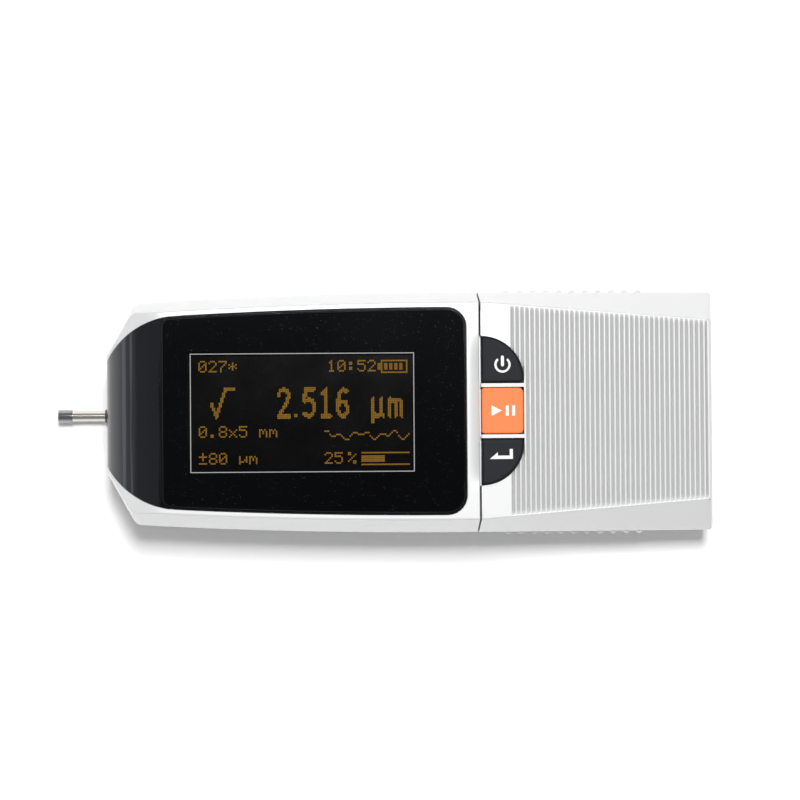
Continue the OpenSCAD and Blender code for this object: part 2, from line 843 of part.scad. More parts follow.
// Screw places of the drive frame's feet.
module at_feet() {
  for (x = [frame_front - foot_l / 2, frame_rear + foot_l / 2], s = [-1, 1])
    translate([x, s * foot_y, 0]) children();
}

module drive_frame() {
  inside = frame_l - 2 * frame_t;
  color(alloy) difference() {
    union() {
      translate([frame_front, -frame_w / 2, base_t]) cube([frame_l, frame_w, frame_h - base_t]);
      at_feet() translate([-foot_l / 2 - 0.1, -foot_w / 2, base_t]) cube([foot_l + 0.2, foot_w, frame_t]);
    }
    translate([frame_front + frame_t, -frame_w, base_t - over])
      cube([inside, 2 * frame_w, frame_h - base_t - frame_t + over]);
    translate([frame_front - over, -socket_d / 2 - 0.6, base_t - over])
      cube([frame_t + 2 * over, socket_d + 1.2, probe_z + socket_d / 2 + 0.6 - base_t + over]);
    for (s = [-1, 1]) along_x(frame_front - over, s * guide_y, drive_z)
      cylinder(d = guide_d + 2 * run, h = frame_l + 2 * over);
    along_x(frame_front - over, 0, drive_z) cylinder(r = bearing_r + run, h = frame_t + 2 * over);
    along_x(frame_rear - frame_t - over, 0, drive_z)
      cylinder(r = gearbox_boss_r + run, h = frame_t + 2 * over);
    at_feet() cylinder(d = small_d + 2 * fit, h = base_t + frame_t + over);
  }
}

module drive_screws() {
  color(steel) at_feet() translate([0, 0, base_t + frame_t]) rotate([180, 0, 0])
    screw(small_d, frame_t + base_t - 0.8, small_head, small_head_t);
}

module guide_rods() {
  color(steel) for (s = [-1, 1]) along_x(frame_front, s * guide_y, drive_z)
    cylinder(d = guide_d, h = frame_l);
}

module screw_bearing() {
  l = bearing_flange + frame_t;
  color(brass) along_x(frame_front - bearing_flange, 0, drive_z) difference() {
    union() {
      cylinder(r = bearing_r + bearing_flange, h = bearing_flange);
      cylinder(r = bearing_r, h = l);
    }
    translate([0, 0, -over]) cylinder(d = lead_d + 2 * run, h = l + 2 * over);
  }
}

module lead_screw() {
  color(steel) along_x(frame_front - bearing_flange, 0, drive_z)
    cylinder(d = lead_d, h = coupler_x + coupler_l / 2 - frame_front);
}

module shaft_coupler() {
  color(alloy) along_x(coupler_x, 0, drive_z) difference() {
    cylinder(r = coupler_r, h = coupler_l);
    translate([0, 0, -over]) cylinder(d = lead_d + run, h = coupler_l + 2 * over);
  }
}

module output_shaft() {
  x0 = coupler_x + coupler_l / 2 + 0.2;
  color(steel) along_x(x0, 0, drive_z) cylinder(d = lead_d, h = frame_rear + 4 - x0);
}

module gearbox() {
  color(brass) along_x(frame_rear, 0, drive_z) difference() {
    union() {
      cylinder(d = motor_d, h = gearbox_l);
      translate([0, 0, -frame_t]) cylinder(r = gearbox_boss_r, h = frame_t + over);
    }
    translate([0, 0, -frame_t - over]) cylinder(d = lead_d + 2 * run, h = frame_t + over + 4.5);
  }
}

module drive_motor() {
  color(steel) along_x(frame_rear + gearbox_l, 0, drive_z) cylinder(d = motor_d, h = motor_l);
}

module carriage() {
  color(gloss_black) difference() {
    union() {
      translate([carriage_x, -frame_w / 2 + 0.5, drive_z - carriage_h / 2])
        cube([carriage_l, frame_w - 1, carriage_h]);
      translate([carriage_x, -socket_d / 2 - 1.2, probe_z])
        cube([saddle_l, socket_d + 2.4, drive_z - probe_z]);
    }
    for (s = [-1, 1]) along_x(carriage_x - over, s * guide_y, drive_z)
      cylinder(d = guide_d + 2 * run, h = carriage_l + 2 * over);
    along_x(carriage_x - over, 0, drive_z) cylinder(r = nut_r + 0.02, h = carriage_l + 2 * over);
    along_x(carriage_x - over, 0, probe_z) cylinder(d = socket_d, h = saddle_l + 2 * over);
  }
}

module drive_nut() {
  color(brass) along_x(carriage_x, 0, drive_z) difference() {
    cylinder(r = nut_r, h = carriage_l);
    translate([0, 0, -over]) cylinder(d = lead_d + 2 * run, h = carriage_l + 2 * over);
  }
}

module pickup_socket() {
  color(rubber) along_x(socket_x, 0, probe_z) difference() {
    cylinder(d = socket_d, h = socket_l);
    translate([0, 0, -over]) cylinder(r = plug_r + run, h = plug_l + 0.5 + over);
  }
}

module pickup_body() {
  color(steel) difference() {
    along_x(pickup_x, 0, probe_z) difference() {
      union() {
        cylinder(d = pickup_d, h = pickup_l);
        translate([0, 0, pickup_l]) cylinder(r = plug_r, h = plug_l);
      }
      translate([0, 0, -over]) cylinder(r = chamber_r, h = 9 + over);
    }
    translate([pivot_x, 0, probe_z]) rotate([90, 0, 0])
      cylinder(r = pivot_r + run, h = pickup_d + over, center = true);
  }
}

module pickup_rod() {
  color(steel) along_x(tip_x + nose_l - rod_seat, 0, probe_z) difference() {
    l = pickup_x + rod_plug - tip_x - nose_l + rod_seat;
    cylinder(d = rod_d, h = l);
    translate([0, 0, -over]) cylinder(d = rod_bore, h = l + 2 * over);
  }
}

module pickup_nose() {
  keel_x = tip_x + nose_l - keel_w - 0.8;
  color(dark_steel) difference() {
    union() {
      along_x(tip_x, 0, probe_z) cylinder(d = nose_d, h = nose_l);
      translate([keel_x, 0, skid_z + keel_w / 2]) rotate([90, 0, 0])
        cylinder(d = keel_w, h = keel_w, center = true);
      translate([keel_x - keel_w / 2, -keel_w / 2, skid_z + keel_w / 2])
        cube([keel_w, keel_w, probe_z - nose_d / 2 + 0.5 - skid_z - keel_w / 2]);
    }
    along_x(tip_x + nose_l - rod_seat, 0, probe_z) cylinder(d = rod_d + 2 * run, h = rod_seat + over);
    along_x(tip_x + 0.4, 0, probe_z) cylinder(d = rod_bore, h = nose_l);
    translate([stylus_x, 0, 0]) cylinder(r = stylus_r + 0.25, h = probe_z);
  }
}

module stylus_lever() {
  point = 0.9;
  color(steel) {
    along_x(stylus_x - lever_d / 2, 0, probe_z)
      cylinder(d = lever_d, h = pivot_x + 2 - stylus_x + lever_d / 2);
    translate([pivot_x, 0, probe_z]) rotate([90, 0, 0])
      cylinder(r = pivot_r, h = pivot_l, center = true);
    translate([stylus_x, 0, tip_z + point]) cylinder(r = stylus_r, h = probe_z - tip_z - point);
    translate([stylus_x, 0, tip_z]) cylinder(r1 = 0.03, r2 = stylus_r, h = point);
  }
}

module probe_bushing() {
  back = panel_t + (probe_z + bush_flange_r) * tan(nose_lean) + fit;
  color(rubber) along_x(front_x - bush_proud, 0, probe_z) difference() {
    union() {
      cylinder(r = bush_r, h = bush_proud + panel_t + backing_t);
      translate([0, 0, bush_proud + back]) cylinder(r = bush_flange_r, h = panel_t + backing_t - back);
    }
    translate([0, 0, -over]) cylinder(d = rod_d + 2 * run, h = bush_proud + panel_t + backing_t + 2 * over);
  }
}

module base_screws() {
  color(steel) at_fix(concat(front_fix, grip_fix)) translate([0, 0, head_t])
    screw(screw_d, screw_l, head_d, head_t - 0.1);
}

front_housing();
grip_housing();
base_plate();
front_panel();
display_window();
oled_glass();
display_board();
display_screws();
power_key();
start_key();
enter_key();
power_dome();
start_dome();
enter_dome();
keypad_board();
keypad_screws();
main_board();
controller_chip();
board_screws();
battery_pack();
charge_board();
charge_screws();
usb_socket();
drive_frame();
drive_screws();
guide_rods();
screw_bearing();
lead_screw();
shaft_coupler();
output_shaft();
gearbox();
drive_motor();
carriage();
drive_nut();
pickup_socket();
pickup_body();
pickup_rod();
pickup_nose();
stylus_lever();
probe_bushing();
base_screws();
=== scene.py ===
"""Handheld surface roughness tester lying on a white table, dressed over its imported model."""
import math

import bmesh
import bpy
from mathutils import Matrix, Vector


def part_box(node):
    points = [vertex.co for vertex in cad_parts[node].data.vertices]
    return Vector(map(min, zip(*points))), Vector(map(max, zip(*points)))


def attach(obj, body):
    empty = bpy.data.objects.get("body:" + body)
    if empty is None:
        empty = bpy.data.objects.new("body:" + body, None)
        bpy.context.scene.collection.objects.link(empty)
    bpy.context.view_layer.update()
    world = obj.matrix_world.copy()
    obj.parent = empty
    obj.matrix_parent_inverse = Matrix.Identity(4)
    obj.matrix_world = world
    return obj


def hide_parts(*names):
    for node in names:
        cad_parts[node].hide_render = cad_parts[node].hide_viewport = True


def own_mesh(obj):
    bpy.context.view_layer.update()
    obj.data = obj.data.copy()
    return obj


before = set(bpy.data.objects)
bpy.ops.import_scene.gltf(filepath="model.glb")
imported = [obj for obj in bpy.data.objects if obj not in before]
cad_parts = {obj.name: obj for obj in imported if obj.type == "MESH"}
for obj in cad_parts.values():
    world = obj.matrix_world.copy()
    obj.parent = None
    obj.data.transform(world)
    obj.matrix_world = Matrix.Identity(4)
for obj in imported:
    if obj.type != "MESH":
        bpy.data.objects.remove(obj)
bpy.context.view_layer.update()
scene = bpy.context.scene
scene.view_settings.view_transform = "Standard"


# The camera hangs almost straight above the instrument, 0.9 m up with a long lens. It is turned
# by about a degree, so that the body lies in the frame as it does on the photographer's table.
camera_data = bpy.data.cameras.new("camera")
camera_data.lens = 153
camera_data.sensor_width = 36
camera_data.clip_end = 20
camera = bpy.data.objects.new("camera", camera_data)
camera_place = Matrix.Translation((-0.02105, -0.01536, 0.90299))
tilt = Matrix.Rotation(math.radians(1.217), 4, "X") @ Matrix.Rotation(math.radians(-1.243), 4, "Y")
turn = Matrix.Rotation(math.radians(-0.392), 4, "Z")
camera.matrix_world = camera_place @ tilt @ turn
scene.collection.objects.link(camera)
scene.camera = camera


# The base plate closes the two shells from below. It is moulded in grey plastic with an eroded
# texture, and eight screws hold it, so its solid stays and gets that finish.
class Wire:
    """An output of a node; sums on it are written as Python expressions."""

    def __init__(self, tree, socket):
        self.tree = tree
        self.socket = socket

    def work(self, operation, first, second=0.0):
        node = self.tree.nodes.new("ShaderNodeMath")
        node.operation = operation
        connect(self.tree, node.inputs[0], first)
        connect(self.tree, node.inputs[1], second)
        return Wire(self.tree, node.outputs[0])

    def __add__(self, other):
        return self.work("ADD", self, other)

    def __radd__(self, other):
        return self.work("ADD", other, self)

    def __sub__(self, other):
        return self.work("SUBTRACT", self, other)

    def __rsub__(self, other):
        return self.work("SUBTRACT", other, self)

    def __mul__(self, other):
        return self.work("MULTIPLY", self, other)

    def __rmul__(self, other):
        return self.work("MULTIPLY", other, self)

    def __lt__(self, other):
        return self.work("LESS_THAN", self, other)

    def __gt__(self, other):
        return self.work("GREATER_THAN", self, other)

    def __abs__(self):
        return self.work("ABSOLUTE", self)


def connect(tree, socket, value):
    if isinstance(value, Wire):
        tree.links.new(value.socket, socket)
    else:
        socket.default_value = value


def socket_named(sockets, name):
    for socket in sockets:
        if socket.identifier == name:
            return socket
    return sockets[name]


class Nodes:
    """The nodes of a material or of the sky, each made by one call."""

    def __init__(self, tree):
        self.tree = tree

    def node(self, kind, settings=None, sockets=None, out=0):
        node = self.tree.nodes.new(kind)
        for name, value in (settings or {}).items():
            if name == "stops":
                ramp = node.color_ramp
                while len(ramp.elements) < len(value):
                    ramp.elements.new(0.5)
                for element, (position, colour) in zip(ramp.elements, value):
                    element.position = position
                    element.color = (*colour, 1)
            else:
                setattr(node, name, value)
        for name, value in (sockets or {}).items():
            connect(self.tree, socket_named(node.inputs, name), value)
        return Wire(self.tree, socket_named(node.outputs, out))


class Finish(Nodes):
    """A material: fixed values of its shader, and what varies over the surface."""

    def __init__(self, name, fixed):
        self.material = bpy.data.materials.new(name)
        self.material.use_nodes = True
        super().__init__(self.material.node_tree)
        self.shader = self.tree.nodes["Principled BSDF"]
        for socket, value in fixed.items():
            self.shader.inputs[socket].default_value = value
        self.place = self.node("ShaderNodeTexCoord", out="Object")

    def along(self, axis):
        return self.node("ShaderNodeSeparateXYZ", None, {"Vector": self.place}, axis)

    def noise(self, per_metre, detail=2.0, stretch=None):
        place = self.place
        if stretch:
            place = self.node("ShaderNodeVectorMath", {"operation": "MULTIPLY"}, {0: place, 1: stretch})
        sockets = {"Vector": place, "Scale": per_metre, "Detail": detail}
        return self.node("ShaderNodeTexNoise", None, sockets, "Fac")

    def blend(self, share, first, second):
        first = first if isinstance(first, Wire) else (*first, 1)
        second = second if isinstance(second, Wire) else (*second, 1)
        sockets = {"Factor_Float": share, "A_Color": first, "B_Color": second}
        return self.node("ShaderNodeMix", {"data_type": "RGBA"}, sockets, "Result_Color")

    def feed(self, socket, wire):
        connect(self.tree, self.shader.inputs[socket], wire)

    def bump(self, height, distance):
        sockets = {"Height": height, "Distance": distance, "Strength": 1.0}
        self.feed("Normal", self.node("ShaderNodeBump", None, sockets, "Normal"))


def moulded_plastic(name, colour, second, rough, grain, height, shine=0.45, lacquer=0.0):
    """Moulded plastic: a faint drift of tone, and the fine texture of an eroded mould."""
    fixed = {"Specular IOR Level": shine, "Coat Weight": lacquer, "Coat Roughness": 0.26}
    finish = Finish(name, fixed)
    fine = finish.noise(grain, 3)
    tone = finish.noise(70, 3) * 0.7 + fine * 0.3
    finish.feed("Base Color", finish.blend(tone, colour, second))
    finish.feed("Roughness", (rough - 0.07) + fine * 0.14)
    finish.bump(fine, height)
    return finish.material


def dress(material, *nodes):
    for name in nodes:
        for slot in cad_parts[name].material_slots:
            slot.material = material


base_grey = moulded_plastic("base grey", (0.58, 0.58, 0.57), (0.64, 0.64, 0.63), 0.55, 2600, 0.00006)
dress(base_grey, "base_plate")


# Screws, rods, shafts and the sensor body are steel, ground or turned, so fine lines run round
# them. The frame and the coupler are alloy, and the nut, bearing and gearbox are brass.
def turned_metal(name, colour, second, rough, stretch, height=0.000012):
    finish = Finish(name, {"Metallic": 1.0})
    lines = finish.noise(1.0, 4, stretch)
    finish.feed("Base Color", finish.blend(lines, colour, second))
    finish.feed("Roughness", rough * (0.75 + lines * 0.5))
    finish.bump(lines, height)
    return finish.material


round_x = (9000, 300, 300)
steel = turned_metal("ground steel", (0.52, 0.51, 0.49), (0.7, 0.68, 0.65), 0.28, round_x)
alloy = turned_metal("milled alloy", (0.62, 0.63, 0.65), (0.76, 0.77, 0.79), 0.36, (300, 9000, 300))
brass = turned_metal("turned brass", (0.68, 0.5, 0.2), (0.8, 0.63, 0.3), 0.3, round_x)
dress(
    steel, "base_screws", "display_screws", "keypad_screws", "board_screws", "charge_screws",
    "drive_screws", "guide_rods", "lead_screw", "output_shaft", "drive_motor", "pickup_body",
    "stylus_lever", "usb_socket",
)
dress(alloy, "drive_frame", "shaft_coupler")
dress(brass, "screw_bearing", "gearbox", "drive_nut")


# The carriage, the pickup's socket and the controller's case are black moulded plastic.
# The battery is a flat cell in blue shrink film, which creases a little and shines.
black_moulded = moulded_plastic(
    "black moulded", (0.016, 0.016, 0.017), (0.026, 0.026, 0.027), 0.5, 3000, 0.00004,
)
dress(black_moulded, "carriage", "pickup_socket", "controller_chip")

film = Finish("battery film", {"Coat Weight": 0.4, "Coat Roughness": 0.15})
crease = film.noise(160, 5)
film.feed("Base Color", film.blend(crease, (0.02, 0.07, 0.3), (0.04, 0.13, 0.48)))
film.feed("Roughness", 0.24 + crease * 0.2)
film.bump(crease, 0.0002)
dress(film.material, "battery_pack")


# The boards are glass fibre under green solder mask, with copper tracks that show through the
# mask as slightly lighter and higher lines.
mask = Finish("solder mask", {"Coat Weight": 0.3, "Coat Roughness": 0.12})
brick = {"Vector": mask.place, "Scale": 260.0, "Mortar Size": 0.035}
track = mask.node("ShaderNodeTexBrick", None, brick, "Fac")
fibre = mask.noise(2200, 3)
green = mask.blend(fibre, (0.012, 0.1, 0.035), (0.02, 0.15, 0.055))
mask.feed("Base Color", mask.blend(track, green, (0.05, 0.26, 0.1)))
mask.feed("Roughness", 0.32 + fibre * 0.12)
mask.bump(track * 0.8 + fibre * 0.2, 0.00003)
dress(mask.material, "display_board", "keypad_board", "main_board", "charge_board")


# The front shell is one white satin moulding: bowed sides that draw in above and below their
# widest line, slanted cheeks, and an upper surface that rolls over to a front leaning back.
# A recess takes the panel, the edge by the keys is scooped, and a ledge closes the seam from below.
class Moulding:
    """Faces of one closed piece in millimetres; points that coincide become one vertex."""

    def __init__(self):
        self.points = []
        self.known = {}
        self.faces = []

    def face(self, corners):
        ring = []
        for corner in corners:
            key = tuple(round(c, 4) + 0.0 for c in corner)
            if key not in self.known:
                self.known[key] = len(self.points)
                self.points.append(key)
            if self.known[key] not in ring:
                ring.append(self.known[key])
        if len(ring) > 2:
            self.faces.append(ring)

    def sheet(self, rows):
        for low, high in zip(rows, rows[1:]):
            for i in range(len(low) - 1):
                self.face((low[i], low[i + 1], high[i + 1], high[i]))

    def band(self, loops):
        self.sheet([[*loop, loop[0]] for loop in loops])

    def prism(self, outline, low, high):
        self.face([(x, y, low) for x, y in outline])
        self.face([(x, y, high) for x, y in outline])
        self.band([[(x, y, z) for x, y in outline] for z in (low, high)])

    def mesh(self, name, soften=()):
        """The mesh in metres; soften lists (test of an edge's ends, radius) for edges to round."""
        mesh = bpy.data.meshes.new(name)
        mesh.from_pydata([[c * 0.001 for c in p] for p in self.points], [], self.faces)
        work = bmesh.new()
        work.from_mesh(mesh)
        bmesh.ops.recalc_face_normals(work, faces=work.faces)
        for test, radius in soften:
            edges = [e for e in work.edges if test(e) and e.calc_face_angle(0) > 0.5]
            bmesh.ops.bevel(
                work, geom=edges, offset=radius * 0.001, segments=2, profile=0.5,
                affect="EDGES", clamp_overlap=True,
            )
        work.to_mesh(mesh)
        work.free()
        return mesh


def carve(mesh, *steps):
    """The mesh with others added or taken away, each step being (operation, mesh)."""
    block = bpy.data.objects.new("block", mesh)
    scene.collection.objects.link(block)
    tools = []
    for operation, shape in steps:
        tool = bpy.data.objects.new("tool", shape)
        scene.collection.objects.link(tool)
        tools.append(tool)
        step = block.modifiers.new("step", "BOOLEAN")
        step.operation = operation
        step.solver = "EXACT"
        step.object = tool
    bpy.context.view_layer.update()
    result = bpy.data.meshes.new_from_object(block.evaluated_get(bpy.context.evaluated_depsgraph_get()))
    for used in (block, *tools):
        bpy.data.objects.remove(used)
    seams = bmesh.new()
    seams.from_mesh(result)
    bmesh.ops.remove_doubles(seams, verts=seams.verts, dist=2e-6)
    bmesh.ops.dissolve_degenerate(seams, edges=seams.edges, dist=2e-5)
    bmesh.ops.holes_fill(seams, edges=[e for e in seams.edges if e.is_boundary], sides=4)
    bmesh.ops.recalc_face_normals(seams, faces=seams.faces)
    seams.to_mesh(result)
    seams.free()
    return result


def piece(name, mesh, material, body, slot, *nodes):
    """A visible piece on a body, smooth but for its edges, in the place of the nodes named."""
    obj = bpy.data.objects.new(name, mesh)
    scene.collection.objects.link(obj)
    mesh.materials.clear()
    mesh.materials.append(material)
    for polygon in mesh.polygons:
        polygon.material_index = 0
        polygon.use_smooth = True
    mesh.set_sharp_from_angle(angle=math.radians(32))
    even = obj.modifiers.new("even shading", "WEIGHTED_NORMAL")
    even.keep_sharp = True
    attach(obj, body)
    if nodes:
        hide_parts(*nodes)
    return obj


top_z = 46.0
front_x = -79.0
shell_end = 17.6
wide_z = 29.0
wide_half = 30.95
wide_round = 2.2
foot_draw = 1.2
top_draw = 3.45
bow_start = 10.0
bow_r = 1300.0
front_r = 6.0
cheek_angle = math.radians(61)
cheek_x = -73.2
cheek_half = 22.6
corner_x = -69.9428
corner_r = 2.5
chord = 8.0
probe_z = 5.0
back_lean = math.radians(3.3)
roll_x = -62.5
roll_r = (roll_x - front_x - top_z * math.tan(back_lean)) / math.tan(math.pi / 4 - back_lean / 2)
roll_z = top_z - roll_r
lean_end = (roll_z + roll_r * math.sin(back_lean)) / math.cos(back_lean)
flat_start = lean_end + roll_r * (math.pi / 2 - back_lean)


def nose(run, y, depth=0.0):
    """A point of the upper surface, run millimetres up and over from the front foot."""
    if run < lean_end:
        out, up = -math.cos(back_lean), math.sin(back_lean)
        x, z = front_x + run * up, -run * out
    elif run < flat_start:
        angle = back_lean + (run - lean_end) / roll_r
        out, up = -math.cos(angle), math.sin(angle)
        x, z = roll_x + roll_r * out, roll_z + roll_r * up
    else:
        x, z, out, up = roll_x + run - flat_start, top_z, 0.0, 1.0
    return (x - out * depth, y, z - up * depth)


def run_at(x):
    return flat_start + x - roll_x


def draw_in(z):
    """Inward draw of the sides at height z, with the widest line rounded."""
    under = foot_draw / wide_z
    over = top_draw / (top_z - wide_z)
    near = max(0.0, wide_round - abs(z - wide_z))
    rounding = (under + over) / (4 * wide_round) * near * near
    return (under if z < wide_z else over) * abs(z - wide_z) + rounding


def belt(x):
    """Half width of the bowed sides at their widest line."""
    return wide_half - max(bow_start - x, 0) ** 2 / (2 * bow_r)


def cheek(x):
    return cheek_half + (x - cheek_x) * math.tan(cheek_angle)


def outline(x):
    """Half width at the widest line: rounded front corner, cheek, rounded corner, bowed side."""
    front_end = front_x + front_r - front_r * math.sin(cheek_angle)
    if x < front_end:
        middle = cheek(front_end) - front_r * math.cos(cheek_angle)
        return middle + math.sqrt(max(0.0, front_r ** 2 - (x - front_x - front_r) ** 2))
    side_slope = (belt(corner_x + chord) - cheek(corner_x)) / chord
    side_angle = math.atan(side_slope)
    cut_back = corner_r * math.tan((cheek_angle - side_angle) / 2)
    round_start = corner_x - cut_back * math.cos(cheek_angle)
    if x < round_start:
        return cheek(x)
    if x < corner_x + cut_back * math.cos(side_angle):
        middle_x = round_start + corner_r * math.sin(cheek_angle)
        middle = cheek(round_start) - corner_r * math.cos(cheek_angle)
        return middle + math.sqrt(max(0.0, corner_r ** 2 - (x - middle_x) ** 2))
    if x < corner_x + chord:
        return cheek(corner_x) + (x - corner_x) * side_slope
    return belt(x)


def bend(start, corner, end, count=4):
    """Points of a rounded edge from start to end that leaves out the corner."""
    points = []
    for i in range(count + 1):
        t = i / count
        weights = ((1 - t) ** 2, 2 * t * (1 - t), t * t)
        points.append(tuple(sum(w * p[k] for w, p in zip(weights, (start, corner, end))) for k in range(3)))
    return points


scoop_start = 14.7
scoop_half = 18.2
scoop_fade = 3.5
scoop_depth = 0.55


def dish(x, y):
    """Depth of the scoop beside the keys."""
    along = max(0.0, min(1.0, (x - scoop_start) / (shell_end - scoop_start)))
    across = max(0.0, min(1.0, (scoop_half - abs(y)) / scoop_fade))
    return scoop_depth * along * along * across * across * (3 - 2 * across)


front_runs = [1, 2, 3, 5, 7.5, 10, 12.5, 15, 17, 19, 21, 23, 25, 27, 29, 30.5, lean_end]
roll_runs = [lean_end + (flat_start - lean_end) * i / 30 for i in range(1, 31)]
flat_runs = [run_at(x) for x in (-61, -56, -48, -40, -32, -24, -16, -8, 0, 6, 10, 13, 14.4)]
scoop_runs = [run_at(x) for x in (14.9, 15.3, 15.7, 16.1, 16.5, 16.9, 17.25, shell_end)]
spread = [math.sin(math.pi / 2 * (i / 13 - 1)) for i in range(27)]

edge_r = 0.35
shell = Moulding()
foot_x = nose(front_runs[0], 0)[0]
foot_half = outline(foot_x) - draw_in(0)
top_rows = [[(foot_x, foot_half * s, 0.0) for s in [-1] * 4 + spread + [1] * 4]]
left_columns = []
right_columns = []
for run in front_runs + roll_runs + flat_runs + scoop_runs:
    x, y, z = nose(run, 0)
    edge = outline(x) - draw_in(z)
    soft = edge_r * min(1.0, (run - front_runs[0]) / 10)
    lower = z - soft
    inner = edge - soft
    round_edge = bend((x, outline(x) - draw_in(lower), lower), (x, edge, z), (x, inner, z))
    middle = [(x, inner * s, z - dish(x, inner * s)) for s in spread]
    mirror_edge = [(a, -b, c) for a, b, c in round_edge]
    top_rows.append(mirror_edge[:4] + middle + round_edge[3::-1])
    heights = [0.0] + [min(wide_z + wide_round * s, lower) for s in (-1, -0.5, 0, 0.5, 1)]
    column = [(x, outline(x) - draw_in(h), h) for h in heights] + [round_edge[0]]
    left_columns.append(column)
    right_columns.append([(a, -b, c) for a, b, c in column])
shell.sheet(top_rows)
shell.sheet(left_columns)
shell.sheet(right_columns)
shell.face(left_columns[-1] + top_rows[-1][-2:0:-1] + right_columns[-1][::-1])
shell.face(top_rows[0] + [c[0] for c in left_columns] + [c[0] for c in right_columns[::-1]])
base_edge = (lambda e: all(v.co.z < 1e-6 for v in e.verts), 0.6)
seam_edge = (lambda e: all(v.co.x > (shell_end - 0.01) * 0.001 for v in e.verts), 0.2)
shell_skin = shell.mesh("front skin", [base_edge, seam_edge])

wall = 2.5
roof = 3.7
below = -1.0
cavity = Moulding()
inside_rows = []
for run in [3.8, 10, 16, 22, 28, 34, 38, 42, 46, 50, 54, 60, 80, 100, 120, 136]:
    x, y, z = nose(run, 0, roof)
    behind_cheek = outline(max(front_x, x - wall * math.sin(cheek_angle))) - wall * math.cos(cheek_angle)
    wide = min(behind_cheek, outline(x) - wall)
    low_side = [(x, wide - draw_in(h), h) for h in (below, min(wide_z, z), z)]
    inside_rows.append([(a, -b, c) for a, b, c in low_side] + low_side[::-1])
cavity.sheet(inside_rows)
cavity.face(inside_rows[0])
cavity.face(inside_rows[-1])
cavity.face([r[0] for r in inside_rows] + [r[-1] for r in inside_rows[::-1]])


def plate(rows_of, across, profile, surface):
    """A plate with rounded edges. rows_of(inset) gives (run, low, high) rows, profile gives
    (inset, depth) from the top edge down, and surface(run, y, depth) places the points."""
    shape = Moulding()

    def grid(inset, depth):
        return [
            [surface(run, low + (high - low) * s, depth) for s in across]
            for run, low, high in rows_of(inset)
        ]

    loops = []
    for inset, depth in profile:
        rows = grid(inset, depth)
        ends = [r[-1] for r in rows[1:-1]] + rows[-1][::-1] + [r[0] for r in rows[-2:0:-1]]
        loops.append(rows[0] + ends)
    shape.sheet(grid(*profile[0]))
    shape.band(loops)
    shape.sheet(grid(*profile[-1]))
    return shape


def rounded_off(room, radius):
    """How far a rounded corner draws a row's end in, room millimetres from the plate's end."""
    if room >= radius:
        return 0.0
    return radius - math.sqrt(max(0.0, radius ** 2 - (radius - room) ** 2))


panel_foot = 1.35
panel_foot_r = 1.5
panel_end = 14.4
panel_end_r = 5.0
panel_margin = 4.8
panel_turn_x = -57.2
panel_turn_half = 1.45
panel_turn_r = 23.0
across_panel = [0.5 + 0.5 * math.sin(math.pi / 2 * (i / 11 - 1)) for i in range(23)]
quarter = [math.radians(a) for a in (0, 9, 18, 28, 39, 51, 64, 78, 90)]


def panel_side(run):
    """Half width of the panel: round front corners in plan, then a line inside the bowed side."""
    x = nose(run, 0)[0]
    if x < panel_turn_x:
        return panel_turn_half + math.sqrt(panel_turn_r ** 2 - (x - panel_turn_x) ** 2)
    return belt(x) - panel_margin


def panel_rows(inset):
    low = panel_foot + inset
    low_r = panel_foot_r - inset
    end = run_at(panel_end) - inset
    end_r = panel_end_r - inset
    runs = [low + low_r * (1 - math.cos(a)) for a in quarter]
    runs += [4.2] + front_runs[3:] + roll_runs + flat_runs[:9]
    runs += [end - end_r * (1 - math.cos(a)) for a in quarter[::-1]]
    rows = []
    for run in runs:
        half = panel_side(run) - inset - rounded_off(run - low, low_r) - rounded_off(end - run, end_r)
        rows.append((run, -half, half))
    return rows


def extruded(shape, outline_points, place, ends):
    """An outline drawn out between two ends, with place(end, first, second) giving the points."""
    loops = [[place(end, a, b) for a, b in outline_points] for end in ends]
    shape.band(loops)
    shape.face(loops[0])
    shape.face(loops[1])
    return shape


def probe_bore(radius):
    """A round tool through the front end, about the pickup's axis."""
    angles = [math.tau * i / 48 for i in range(48)]
    ring = [(radius * math.cos(a), probe_z + radius * math.sin(a)) for a in angles]
    return extruded(Moulding(), ring, lambda x, y, z: (x, y, z), (front_x - 2, front_x + 5))


def even_box(x0, x1, half, low, high):
    """A plain box that lies evenly about the middle plane."""
    shape = Moulding()
    shape.prism([(x0, -half), (x1, -half), (x1, half), (x0, half)], low, high)
    return shape


fit = 0.15
above = 50.0
recess = plate(panel_rows, across_panel, [(-fit, -1.5), (-fit, 2.15)], nose)
bay = even_box(-64.2, 8.8, 21, 23, above)
ledge = even_box(shell_end - 3, shell_end + 0.5, 19, 40.9, 42.7)
shell_mesh = carve(
    shell_skin,
    ("DIFFERENCE", cavity.mesh("front cavity")),
    ("DIFFERENCE", recess.mesh("panel recess")),
    ("DIFFERENCE", bay.mesh("display bay")),
    ("UNION", ledge.mesh("seam ledge")),
    ("DIFFERENCE", probe_bore(2.8).mesh("bushing seat")),
)
shell_white = moulded_plastic(
    "shell white", (0.61, 0.617, 0.613), (0.63, 0.636, 0.632), 0.45, 4200, 0.00002, 0.3, 1.0,
)
piece("front_shell", shell_mesh, shell_white, "housing", "shell_plastic", "front_housing")


# The panel is a hard black gloss moulding that lies in the recess and wraps over the front end.
# It has a pocket for the window sheet, an opening for the display and a hole for the bushing.
window_top = 46.15
window_start = -62.3
window_start_r = 2.0
window_end = 13.8
window_end_r = 4.4
window_margin = 5.4
view_x = -27.7
view_half_length = 28.5
view_half_width = 15.15


